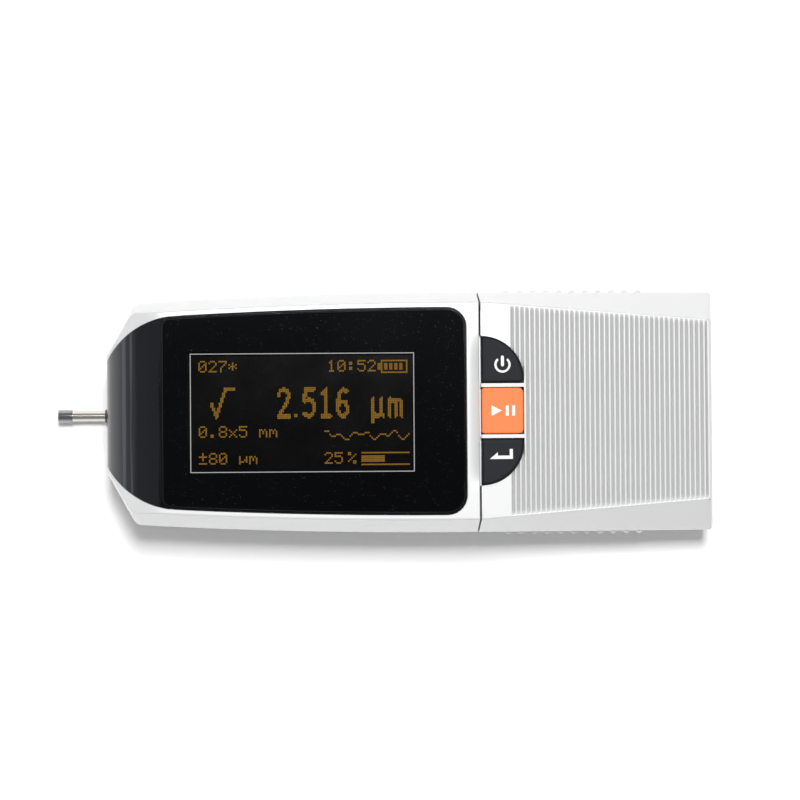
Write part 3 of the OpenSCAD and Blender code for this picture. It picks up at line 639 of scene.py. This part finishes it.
def window_rows(inset):
    start = window_start + inset
    end = window_end - inset
    start_r = window_start_r - inset
    end_r = window_end_r - inset
    xs = [start + start_r * (1 - math.cos(a)) for a in quarter]
    xs += [-56.2, -48, -40, -32, -24, -16, -8, 0.8, 5]
    xs += [end - end_r * (1 - math.cos(a)) for a in quarter[::-1]]
    rows = []
    for x in xs:
        drawn = rounded_off(x - start, start_r) + rounded_off(end - x, end_r)
        half = belt(x) - window_margin - inset - drawn
        rows.append((x, -half, half))
    return rows


def window_level(x, y, depth):
    return (x, y, window_top - depth)


across_window = [i / 16 for i in range(17)]
pocket = plate(window_rows, across_window, [(-fit, -2), (-fit, 1.2)], window_level)
opening = even_box(view_x - view_half_length, view_x + view_half_length, view_half_width, 40, above)
panel_edge = [(0.12, 0), (0, 0.12), (0, 2)]
panel_mesh = carve(
    plate(panel_rows, across_panel, panel_edge, nose).mesh("panel"),
    ("DIFFERENCE", pocket.mesh("window pocket")),
    ("DIFFERENCE", opening.mesh("display opening")),
    ("DIFFERENCE", probe_bore(1.77).mesh("bushing hole")),
)
gloss = Finish("panel gloss", {"Specular IOR Level": 0.75, "Specular Tint": (0.84, 0.91, 1, 1)})
ripple = gloss.noise(1.0, 2, (350, 20, 120))
dust = gloss.noise(5200, 1) > 0.775
gloss.feed("Base Color", gloss.blend(dust, (0.0022, 0.0022, 0.0026), (0.03, 0.03, 0.032)))
gloss.feed("Roughness", 0.05 + ripple * 0.05 + dust * 0.3)
gloss.bump(ripple, 0.0001)
piece("gloss_panel", panel_mesh, gloss.material, "housing", "panel_gloss", "front_panel")


# The window is a flat sheet of smoked acrylic with polished edges, glued in the panel's pocket.
# Its back is printed black but for the opening, where the lit dots show through.
window_edge = [(0.08, 0), (0, 0.08), (0, 1.2)]
window_mesh = plate(window_rows, across_window, window_edge, window_level).mesh("window")
smoke = Finish("smoked window", {"Specular IOR Level": 0.5, "Specular Tint": (0.78, 0.9, 1, 1)})
beyond_x = abs(smoke.along("X") - view_x * 0.001) > view_half_length * 0.001
beyond_y = abs(smoke.along("Y")) > view_half_width * 0.001
haze = smoke.noise(26, 2)
speck = smoke.noise(4800, 1) > 0.78
smoke.feed("Base Color", smoke.blend(speck, (0.002, 0.002, 0.0023), (0.04, 0.04, 0.042)))
smoke.feed("Roughness", 0.03 + haze * 0.04 + speck * 0.3)
smoke.feed("Alpha", 0.42 + 0.58 * (beyond_x + beyond_y > 0.5))
smoke.bump(haze, 0.00002)
piece("window", window_mesh, smoke.material, "housing", "window_sheet", "display_window")


# A thin pale line is screen printed round the display's opening, on the face of the window.
line = Moulding()
line_width = 0.22
line_x = (-55.35, 1.15)
line_y = (-15.2, 14.85)
line_high = window_top + 0.015
line_low = window_top - 0.03
line_section = [(0, line_high), (line_width, line_high), (line_width, line_low), (0, line_low)]
line_loops = []
for inset, z in (*line_section, line_section[0]):
    x0, x1 = line_x[0] + inset, line_x[1] - inset
    y0, y1 = line_y[0] + inset, line_y[1] - inset
    line_loops.append([(x0, y0, z), (x1, y0, z), (x1, y1, z), (x0, y1, z)])
line.band(line_loops)
ink = Finish("pale print", {"Specular IOR Level": 0.3})
wear = ink.noise(1500, 3)
ink.feed("Base Color", ink.blend(wear, (0.27, 0.27, 0.27), (0.36, 0.36, 0.36)))
ink.feed("Roughness", 0.45 + wear * 0.2)
piece("window_line", line.mesh("window line"), ink.material, "housing", "print_white")


# The display is a glass sandwich of 128 by 64 dots on a board behind the panel.
# The lit dots glow amber: status figures, a large reading with its unit, and two small rows.
panel_glass = Finish("display glass", {"Specular IOR Level": 0.5})
layer = panel_glass.noise(120, 2)
panel_glass.feed("Base Color", panel_glass.blend(layer, (0.004, 0.0035, 0.003), (0.007, 0.006, 0.005)))
panel_glass.feed("Roughness", 0.08 + layer * 0.06)
dress(panel_glass.material, "oled_glass")

small_figures = {
    "0": (0x3E, 0x51, 0x49, 0x45, 0x3E), "1": (0x00, 0x42, 0x7F, 0x40, 0x00),
    "2": (0x42, 0x61, 0x51, 0x49, 0x46), "3": (0x21, 0x41, 0x45, 0x4B, 0x31),
    "4": (0x18, 0x14, 0x12, 0x7F, 0x10), "5": (0x27, 0x45, 0x45, 0x45, 0x39),
    "6": (0x3C, 0x4A, 0x49, 0x49, 0x30), "7": (0x01, 0x71, 0x09, 0x05, 0x03),
    "8": (0x36, 0x49, 0x49, 0x49, 0x36), "9": (0x06, 0x49, 0x49, 0x29, 0x1E),
    ":": (0x00, 0x36, 0x36, 0x00, 0x00), ".": (0x00, 0x60, 0x60, 0x00, 0x00),
    "x": (0x44, 0x28, 0x10, 0x28, 0x44), "m": (0x7C, 0x04, 0x18, 0x04, 0x78),
    "u": (0x7C, 0x20, 0x20, 0x10, 0x3C), "*": (0x14, 0x08, 0x3E, 0x08, 0x14),
    "+": (0x44, 0x44, 0x5F, 0x44, 0x44), "%": (0x23, 0x13, 0x08, 0x64, 0x62), " ": (0, 0, 0, 0, 0),
}
large_strokes = {
    "2": [[(0.6, 4.2), (1.2, 1.8), (3.5, 0.7), (5.8, 1.8), (6.4, 4.8), (5.4, 8), (0.6, 17)],
          [(0.6, 17), (6.8, 17)]],
    "5": [[(6.2, 0.8), (1.2, 0.8), (0.8, 8), (3.4, 6.8), (5.8, 8), (6.5, 11.5), (5.8, 15.6),
           (3.4, 17.1), (0.6, 15.4)]],
    "1": [[(1.4, 3.6), (3.8, 0.9), (3.8, 17)], [(1.4, 17), (6.2, 17)]],
    "6": [[(6, 2.4), (3.9, 0.8), (1.5, 3.2), (0.7, 9), (0.9, 14), (2.2, 16.6), (4.4, 17), (6.2, 15),
           (6.4, 11.6), (5.2, 8.8), (2.6, 8.4), (0.9, 10.8)]],
    ".": [[(2.2, 16.6), (2.6, 16.6)]],
    "u": [[(0.7, 7), (0.7, 20.6)], [(0.7, 14.4), (1.8, 16.8), (4, 17), (5.8, 15)],
          [(5.8, 7), (5.8, 16.6), (6.8, 17)]],
    "m": [[(0.6, 7), (0.6, 17)], [(0.6, 9.4), (2, 7.2), (3.4, 7.4), (4.2, 9.4), (4.2, 17)],
          [(4.2, 9.4), (5.6, 7.2), (7, 7.4), (7.8, 9.4), (7.8, 17)]],
    "v": [[(0.5, 10), (3.2, 17), (8.6, 0.8)], [(8.6, 0.8), (14, 0.8)]],
}
lit = set()


def write_small(text, column, row):
    for character in text:
        for i, bits in enumerate(small_figures[character]):
            lit.update((column + i, row + j) for j in range(8) if bits >> j & 1)
        column += 6


def write_large(character, column, row, weight):
    """Dots within weight of a figure's strokes, as on a bold dot font."""
    for stroke in large_strokes[character]:
        for (x0, y0), (x1, y1) in zip(stroke, stroke[1:]):
            for i in range(-2, 18):
                for j in range(-2, 24):
                    length = (x1 - x0) ** 2 + (y1 - y0) ** 2
                    t = max(0.0, min(1.0, ((i - x0) * (x1 - x0) + (j - y0) * (y1 - y0)) / length))
                    away = math.hypot(i - x0 - t * (x1 - x0), (j - y0 - t * (y1 - y0)) * 0.8)
                    if away < weight:
                        lit.add((column + i, row + j))


write_small("027*", 1, 1)
write_small("10:52", 78, 1)
for i in range(110, 126):
    lit.update([(i, 1), (i, 8)])
for j in range(1, 9):
    lit.update([(110, j), (125, j)])
for j in range(3, 7):
    lit.update([(108, j), (109, j)])
for i in (112, 113, 115, 116, 118, 119, 121, 122):
    lit.update((i, j) for j in range(3, 7))
write_large("v", 8, 17, 0.95)
for character, column in (("2", 48), (".", 56), ("5", 63), ("1", 73), ("6", 83)):
    write_large(character, column, 17, 1.05)
write_large("u", 104, 17, 0.95)
write_large("m", 114, 17, 0.95)
write_small("0.8x5 mm", 1, 40)
write_small("+80 um", 1, 56)
write_small("25", 76, 56)
write_small("%", 90, 56)
for i in range(76, 127):
    level = 45.5 - 3 * math.sin(i * 0.55) * math.cos(i * 0.21)
    lit.add((i, round(level)))
for i in range(98, 127):
    lit.update([(i, 56), (i, 63)])
    if i < 112:
        lit.update((i, j) for j in range(58, 62))
dots = Moulding()
pitch = 0.423
dot_half = 0.18
dots_x = -26.66
for i, j in sorted(lit):
    x = dots_x + (i - 63.5) * pitch
    y = (31.5 - j) * pitch
    square = [(x + a * dot_half, y + b * dot_half) for a, b in ((-1, -1), (1, -1), (1, 1), (-1, 1))]
    dots.prism(square, 43.69, 43.74)
lit_look = {"Base Color": (0.3, 0.16, 0.01, 1), "Roughness": 0.5, "Emission Strength": 1.0}
glow = Finish("amber dots", lit_look)
flicker = glow.noise(900, 2)
glow.feed("Emission Color", glow.blend(flicker, (0.48, 0.22, 0.005), (0.74, 0.37, 0.012)))
piece("readout_dots", dots.mesh("readout dots"), glow.material, "housing", "readout_amber")


# The grip is the rear shell, of the same white moulding. Its top narrows to the rear and is cut
# across by forty fine grooves, its sides carry upright finger ribs, and the keys' openings stand
# against the seam with a thin bar left between each pair. The charging socket is in its rear.
seam_x = 17.8
grip_start = 18.0
grip_rear = 79.0
grip_length = grip_rear - grip_start
grip_edge_r = 0.3
grip_wide_round = 2.0
rear_r = 1.0
wide_drop = 7.0
face_taper = 4.7
rear_lean = 2.7
groove_count = 40
groove_pitch = 1.26
groove_start = 25.4
run_out_start = 0.32
run_out_length = 1.48
groove_shape = [
    (-0.63, 0), (-0.52, 0), (-0.46, 0.02), (-0.41, 0.08), (-0.36, 0.18), (-0.2, 0.52), (0, 0.92),
    (0.2, 0.52), (0.36, 0.18), (0.41, 0.08), (0.46, 0.02), (0.52, 0),
]


def leaned(x, z, widest_z):
    """Place along X of a point whose section stands at x: the rear end leans above its widest line."""
    rise = max(0.0, z - widest_z) / (top_z - widest_z)
    return x - rear_lean * (x - grip_start) / grip_length * rise


def grip_taper(x):
    """Height of the widest line and half width of the top at a section."""
    share = (x - seam_x) / (grip_rear - seam_x)
    return wide_z - wide_drop * share, wide_half - top_draw - face_taper * share


def grip_half(x, drawn, groove, bars):
    """Half section from the base up to the middle of the top, drawn in at the rear edges."""
    widest_z, face = grip_taper(x)
    widest = wide_half - drawn
    level = top_z - drawn
    edge = face + (wide_half - face) * drawn / (top_z - widest_z) - drawn
    upper = (widest - edge) / (level - widest_z)
    under = foot_draw / widest_z

    def side(z):
        slope = under if z < widest_z else upper
        near = max(0.0, grip_wide_round - abs(z - widest_z))
        rounding = (under + upper) / (4 * grip_wide_round) * near * near
        return widest - slope * abs(z - widest_z) - rounding

    heights = [0] + [widest_z + grip_wide_round * s for s in (-1, -0.5, 0, 0.5, 1)]
    half = [(leaned(x, z, widest_z), side(z), z) for z in heights]
    top_x = leaned(x, level, widest_z)
    low = level - grip_edge_r
    low_edge = (leaned(x, low, widest_z), side(low), low)
    half += bend(low_edge, (top_x, edge, level), (top_x, edge - grip_edge_r, level))
    for off in (0.36, 0.5, 0.65, 0.85, 1.05, 1.3, 1.55, 1.8, 2.4, 4, 8):
        run_out = max(0.0, min(1.0, (off - run_out_start) / run_out_length))
        depth = groove * run_out * run_out * (3 - 2 * run_out)
        half.append((top_x, edge - off, level - depth))
    for y, fade in ((11.5, 1), (9.2, 1), (8.4, 0.5), (7.6, 0), (4, 0), (0, 0)):
        half.append((top_x, y, level - groove * (fade if bars else 1)))
    return half


def station(top_x):
    """Place of the section whose top lies at top_x."""
    return grip_start + (top_x - grip_start) * grip_length / (grip_length - rear_lean)


grip_stations = [(station(x), 0, 0, True) for x in (grip_start, 18.8, 20, 21.5, 23, 24.2)]
for i in range(groove_count):
    centre = groove_start + (i + 0.5) * groove_pitch
    grip_stations += [(station(centre + off), 0, depth, i < 3) for off, depth in groove_shape]
for angle in range(0, 91, 15):
    a = math.radians(angle)
    grip_stations.append((grip_rear - rear_r * (1 - math.sin(a)), rear_r * (1 - math.cos(a)), 0, False))
grip = Moulding()
grip_rows = []
for values in grip_stations:
    half = grip_half(*values)
    grip_rows.append(half + [(a, -b, c) for a, b, c in half[-2::-1]])
grip.sheet(grip_rows)
grip.sheet([[r[0], r[-1]] for r in grip_rows])
grip.face(grip_rows[0])
last = grip_rows[-1]
grip.face(last[:4] + last[-4:])
grip.face(last[3:-3])
grip_base_edge = (lambda e: all(v.co.z < 1e-6 for v in e.verts), 0.5)
grip_seam_edge = (lambda e: all(v.co.x < (grip_start + 0.01) * 0.001 for v in e.verts), 0.2)
grip_skin = grip.mesh("grip skin", [grip_base_edge, grip_seam_edge])

edge_wall = 2.1
grip_cavity = Moulding()
hollow_rows = []
for x, drawn in ((17, 0), (30, 0), (45, 0), (60, 0), (75.5, 0), (76, 0.13), (76.37, 0.5), (76.5, 1)):
    widest_z, face = grip_taper(x)
    side_y = wide_half - wall - drawn
    level = top_z - wall - drawn
    edge_y = face - edge_wall - drawn
    roof_x = leaned(x, level, widest_z)
    half = [(x, side_y - foot_draw, below), (x, side_y, widest_z), (roof_x, edge_y, level)]
    hollow_rows.append(half + [(a, -b, c) for a, b, c in half[::-1]])
grip_cavity.sheet(hollow_rows)
grip_cavity.sheet([[r[0], r[-1]] for r in hollow_rows])
for end in (hollow_rows[0], hollow_rows[-1]):
    grip_cavity.face(end[:2] + end[-2:])
    grip_cavity.face(end[1:-1])

key_r = 10.9
key_y = 8.0
key_row = 6.9
start_half = 6.0
key_reach = grip_start + key_r
open_start = 16.5
arc = [math.radians(90 - 5 * i) for i in range(19)]
corner_opening = [(grip_start + key_r * math.cos(a), key_y + key_r * math.sin(a)) for a in arc]
corner_opening += [(key_reach, key_row), (open_start, key_row), (open_start, key_y + key_r)]
start_opening = [
    (open_start, -start_half), (key_reach, -start_half), (key_reach, start_half), (open_start, start_half),
]
key_openings = Moulding()
for opening_outline in (corner_opening, [(x, -y) for x, y in corner_opening], start_opening):
    key_openings.prism(opening_outline, 42, above)

hole_loop = []
for cy, cz, first in ((3.3, 12.1, 0), (-3.3, 12.1, 90), (-3.3, 10.3, 180), (3.3, 10.3, 270)):
    for i in range(6):
        a = math.radians(first + 18 * i)
        hole_loop.append((cy + math.cos(a), cz + math.sin(a)))
socket_hole = extruded(Moulding(), hole_loop, lambda x, y, z: (x, y, z), (grip_rear - 6, grip_rear + 2))

ribs = Moulding()
rib_count = 11
rib_pitch = 3.4
rib_start = 25.8
rib_foot = 8.0
rib_length = 15.0
rib_r = 0.85
rib_lean = math.atan(foot_draw / wide_z)
rib_y = wide_half - foot_draw + rib_foot * math.tan(rib_lean)
rib_ends = [math.radians(a) for a in (-90, -75, -60, -45, -30, -15, 0)]
for i in range(rib_count):
    for s in (-1, 1):
        rings = []
        steps = [(a, 0.0) for a in rib_ends] + [(-a, rib_length) for a in rib_ends[::-1]]
        for a, lift in steps:
            ring_r = rib_r * math.cos(a)
            up = lift + rib_r * math.sin(a)
            ring = []
            for k in range(20):
                b = math.tau * k / 20
                y = rib_y + ring_r * math.sin(b) * math.cos(rib_lean) + up * math.sin(rib_lean)
                z = rib_foot + up * math.cos(rib_lean) - ring_r * math.sin(b) * math.sin(rib_lean)
                ring.append((rib_start + rib_pitch * i + ring_r * math.cos(b), s * y, z))
            rings.append(ring)
        ribs.band(rings)
grip_mesh = carve(
    grip_skin,
    ("UNION", ribs.mesh("finger ribs")),
    ("DIFFERENCE", grip_cavity.mesh("grip cavity")),
    ("DIFFERENCE", key_openings.mesh("key openings")),
    ("DIFFERENCE", socket_hole.mesh("socket hole")),
)
piece("grip_shell", grip_mesh, shell_white, "housing", "shell_plastic", "grip_housing")


# The keys are satin plastic caps with rounded edges: two charcoal corner keys and the orange
# start key between them. Each stands on a rubber dome and is guided by its opening.
key_gap = 0.2
key_x = grip_start + key_gap
key_end = key_reach - key_gap
key_level = 46.6
key_corner_r = 0.7
start_corner_r = 1.3
key_edge = [(0.5, 0), (0.3, 0.03), (0.13, 0.13), (0.03, 0.3), (0, 0.5), (0, 4.25)]
across_key = [i / 12 for i in range(13)]


def start_rows(inset):
    low = key_x + inset
    high = key_end - inset
    low_r = key_corner_r - inset
    high_r = start_corner_r - inset
    xs = [low + low_r * (1 - math.cos(a)) for a in quarter]
    xs += [20, 22, 23.5, 25, 26.8]
    xs += [high - high_r * (1 - math.cos(a)) for a in quarter[::-1]]
    rows = []
    for x in xs:
        half = start_half - key_gap - inset - rounded_off(x - low, low_r) - rounded_off(high - x, high_r)
        rows.append((x, -half, half))
    return rows


def corner_rows(inset):
    low = key_x + inset
    radius = key_r - key_gap - inset
    low_r = key_corner_r - inset
    high_r = 0.8 - 0.8 * inset
    high = grip_start + radius
    xs = [low + low_r * (1 - math.cos(a)) for a in quarter[:-1]]
    begin = math.asin((low + low_r - grip_start) / radius)
    xs += [grip_start + radius * math.sin(begin + (math.pi / 2 - begin) * i / 26) for i in range(27)]
    rows = []
    for x in xs:
        off = rounded_off(x - low, low_r)
        y0 = key_row + key_gap + inset + off + rounded_off(high - x, high_r)
        y1 = key_y + math.sqrt(max(0.0, radius ** 2 - (x - grip_start) ** 2)) - off
        rows.append((x, y0, max(y1, y0 + 0.02)))
    return rows


def key_top(x, y, depth):
    return (x, y, key_level - depth)


def mirrored_top(x, y, depth):
    return (x, -y, key_level - depth)


charcoal = moulded_plastic(
    "key charcoal", (0.007, 0.008, 0.0105), (0.01, 0.0115, 0.0145), 0.5, 3600, 0.00002, 0.12,
)
orange = moulded_plastic(
    "key orange", (0.94, 0.215, 0.062), (0.98, 0.235, 0.07), 0.5, 3600, 0.00002, 0.2,
)
power_mesh = plate(corner_rows, across_key, key_edge, key_top).mesh("power cap")
start_mesh = plate(start_rows, across_key, key_edge, key_top).mesh("start cap")
enter_mesh = plate(corner_rows, across_key, key_edge, mirrored_top).mesh("enter cap")
piece("power_cap", power_mesh, charcoal, "power_button", "key_dark", "power_key")
piece("start_cap", start_mesh, orange, "start_button", "key_orange", "start_key")
piece("enter_cap", enter_mesh, charcoal, "enter_button", "key_dark", "enter_key")


# Each cap carries a plain white pad-printed mark: a switch sign, a start sign of a triangle with
# two bars, and a bent arrow.
mark_low = key_level - 0.05
mark_high = key_level + 0.03


def arc_band(shape, centre, inner, outer, first, last, count):
    rings = []
    for i in range(count + 1):
        a = math.radians(first + (last - first) * i / count)
        rings.append([(centre[0] + r * math.cos(a), centre[1] + r * math.sin(a)) for r in (inner, outer)])
    outline_points = [r[0] for r in rings] + [r[1] for r in rings[::-1]]
    shape.face([(x, y, mark_low) for x, y in outline_points])
    shape.sheet([[(*r[0], mark_high), (*r[1], mark_high)] for r in rings])
    shape.band([[(x, y, z) for x, y in outline_points] for z in (mark_low, mark_high)])


white_ink = Finish("white print", {"Specular IOR Level": 0.3})
patch = white_ink.noise(1800, 3)
white_ink.feed("Base Color", white_ink.blend(patch, (0.8, 0.8, 0.8), (0.88, 0.88, 0.88)))
white_ink.feed("Roughness", 0.45 + patch * 0.15)
switch_mark = Moulding()
switch_x = 23.45
bar_half = 0.38
arc_band(switch_mark, (switch_x, 11.6), 1.5, 2.05, 130, 410, 40)
half_turn = [math.radians(a) for a in range(0, 181, 20)]
bar_end = [(math.cos(a) * bar_half, math.sin(a) * bar_half) for a in half_turn]
bar_loop = [(switch_x + x, 13.5 + y) for x, y in bar_end] + [(switch_x - x, 11.5 - y) for x, y in bar_end]
switch_mark.prism(bar_loop, mark_low, mark_high)
piece("switch_mark", switch_mark.mesh("switch mark"), white_ink.material, "power_button", "print_white")
start_mark = Moulding()
start_mark.prism([(20.6, -1.35), (23.2, 0), (20.6, 1.35)], mark_low, mark_high)
for x in (24.2, 25.8):
    start_mark.prism([(x, -1.3), (x + 0.75, -1.3), (x + 0.75, 1.3), (x, 1.3)], mark_low, mark_high)
piece("start_mark", start_mark.mesh("start mark"), white_ink.material, "start_button", "print_white")
arrow = Moulding()
arrow_loop = [
    (20.1, -12.2), (25.9, -12.2), (25.9, -9.7), (25.1, -9.7), (25.1, -11.35), (22.1, -11.35), (22.1, -10.5),
]
arrow.prism(arrow_loop, mark_low, mark_high)
piece("arrow_mark", arrow.mesh("arrow mark"), white_ink.material, "enter_button", "print_white")


# A hollow dome of dark silicone rubber stands on the key board under each cap and springs it
# back. It is compression moulded; it flattens as its key goes down, but here it stands at rest.
def turned(profile, around, segments=48):
    """A closed profile of (distance along, radius) points turned about an axis."""
    shape = Moulding()
    loops = []
    for along, radius in profile:
        angles = [math.tau * i / segments for i in range(segments)]
        loops.append([around(along, radius * math.cos(a), radius * math.sin(a)) for a in angles])
    shape.band([*loops, loops[0]])
    return shape


board_top = 39.95
dome_height = 2.4
rubber = moulded_plastic("dome rubber", (0.03, 0.03, 0.032), (0.05, 0.05, 0.052), 0.6, 2400, 0.00004)
dome_profile = [
    (0, 3.6), (0.5, 3.55), (1.3, 2.75), (2.0, 2.35), (2.25, 2.28), (dome_height, 2.1), (dome_height, 0.4),
    (1.7, 0.4), (1.6, 1.3), (1.1, 1.7), (0.4, 2.5), (0, 2.7),
]
for name, dome_x, dome_y in (("power", 22.8, 12.4), ("start", 23.4, 0.0), ("enter", 22.8, -12.4)):
    stand = turned(dome_profile, lambda a, b, c: (dome_x + b, dome_y + c, board_top + a))
    dome = piece(
        name + "_spring", stand.mesh(name + " spring"), rubber, "housing", "silicone", name + "_dome"
    )
    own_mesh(dome)


# The pickup's rod is a ground steel tube that slides in a black bushing in the front end, and
# its nose is a darker turned sleeve with a skid below, in which the stylus swings.
def on_probe(a, b, c):
    return (a, b, probe_z + c)


warm_steel = turned_metal("rod steel", (0.68, 0.64, 0.59), (0.8, 0.76, 0.71), 0.1, round_x, 0.000001)
box_low, box_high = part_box("pickup_rod")
rod_front = box_low[0] * 1000
rod_back = box_high[0] * 1000
rod_profile = [
    (rod_front, 0.9), (rod_front, 1.3), (rod_front + 0.05, 1.35),
    (rod_back - 0.05, 1.35), (rod_back, 1.3), (rod_back, 0.9),
]
rod = turned(rod_profile, on_probe)
piece("probe_rod", rod.mesh("probe rod"), warm_steel, "pickup", "steel", "pickup_rod")

dark_steel = turned_metal("nose steel", (0.3, 0.305, 0.31), (0.4, 0.405, 0.41), 0.1, round_x, 0.000001)
tip = -91.7
sleeve = turned(
    [(tip, 0.5), (tip, 1.35), (tip + 0.1, 1.55), (tip + 0.3, 1.65), (tip + 3.35, 1.65), (tip + 3.4, 1.6),
     (tip + 3.5, 1.6), (tip + 3.55, 1.65), (tip + 3.75, 1.65), (tip + 3.8, 1.6), (tip + 3.8, 1.41),
     (tip + 1.9, 1.41), (tip + 1.9, 0.9), (tip + 0.4, 0.9), (tip + 0.4, 0.5)],
    on_probe,
)
skid_x = tip + 1.8
skid_r = 0.6
skid_low = 1.2
skid_high = 3.9
skid_side = [(skid_x - skid_r, skid_high)]
for a in [math.radians(degrees) for degrees in range(0, 181, 15)]:
    skid_side.append((skid_x - skid_r * math.cos(a), skid_low - skid_r * math.sin(a)))
skid_side.append((skid_x + skid_r, skid_high))
skid = extruded(Moulding(), skid_side, lambda y, x, z: (x, y, z), (-skid_r, skid_r))
stylus_hole = Moulding()
stylus_x = tip + 1.0
stylus_hole_r = 0.53
hole_turn = [math.tau * i / 24 for i in range(24)]
hole_ring = [(stylus_x + stylus_hole_r * math.cos(a), stylus_hole_r * math.sin(a)) for a in hole_turn]
stylus_hole.prism(hole_ring, 0, 5)
nose_mesh = carve(
    sleeve.mesh("nose sleeve"),
    ("UNION", skid.mesh("skid")),
    ("DIFFERENCE", stylus_hole.mesh("stylus hole")),
)
piece("probe_nose", nose_mesh, dark_steel, "pickup", "dark_steel", "pickup_nose")

bushing = turned(
    [(-79.3, 1.4), (-79.3, 1.55), (-79.23, 1.67), (-79.1, 1.72), (-76.4, 1.72), (-76.4, 2.75),
     (-75.5, 2.75), (-75.5, 1.4)],
    on_probe,
)
bushing_mesh = bushing.mesh("rod bushing")
piece("rod_bushing", bushing_mesh, black_moulded, "housing", "black_plastic", "probe_bushing")


# The table is a wide matt white sheet. A soft lamp hangs high and a little behind the instrument,
# and the pale walls of the room light its sides, the most from behind and from the pickup's end.
table_mesh = bpy.data.meshes.new("table")
table_mesh.from_pydata([(-3, -3, 0), (3, -3, 0), (3, 3, 0), (-3, 3, 0)], [], [(0, 1, 2, 3)])
table = bpy.data.objects.new("table", table_mesh)
scene.collection.objects.link(table)
sheet = Finish("table sheet", {"Roughness": 0.9, "Specular IOR Level": 0.0})
tooth = sheet.noise(400, 2)
sheet.feed("Base Color", sheet.blend(tooth, (0.965, 0.965, 0.965), (0.975, 0.975, 0.975)))
table_mesh.materials.append(sheet.material)

lamp_data = bpy.data.lights.new("soft lamp", "AREA")
lamp_data.shape = "RECTANGLE"
lamp_data.size = 0.22
lamp_data.size_y = 0.3
lamp_data.energy = 30
lamp = bpy.data.objects.new("soft lamp", lamp_data)
lamp.location = (0.03, 0.37, 1.95)
lamp.rotation_euler = (math.radians(-10.7), math.radians(0.9), 0)
scene.collection.objects.link(lamp)

world = bpy.data.worlds.new("surround")
world.use_nodes = True
scene.world = world
sky = Nodes(world.node_tree)
toward = sky.node("ShaderNodeTexCoord", out="Generated")
up = sky.node("ShaderNodeSeparateXYZ", None, {"Vector": toward}, "Z")
along = sky.node("ShaderNodeSeparateXYZ", None, {"Vector": toward}, "X")
across = sky.node("ShaderNodeSeparateXYZ", None, {"Vector": toward}, "Y")
levels = [
    (0.0, 1.0), (0.12, 1.0), (0.2, 0.45), (0.34, 0.4), (0.37, 0.95), (0.41, 0.95), (0.45, 0.4), (0.6, 0.22),
    (0.99, 0.2), (0.997, 0.015),
]
stops = [(p, (v, v, v)) for p, v in levels]
tone = sky.node("ShaderNodeValToRGB", {"stops": stops}, {"Fac": up}, "Color")
backdrop = world.node_tree.nodes["Background"]
connect(world.node_tree, backdrop.inputs["Color"], tone)
connect(world.node_tree, backdrop.inputs["Strength"], 1.35 - along * 0.15 + across * 0.25)
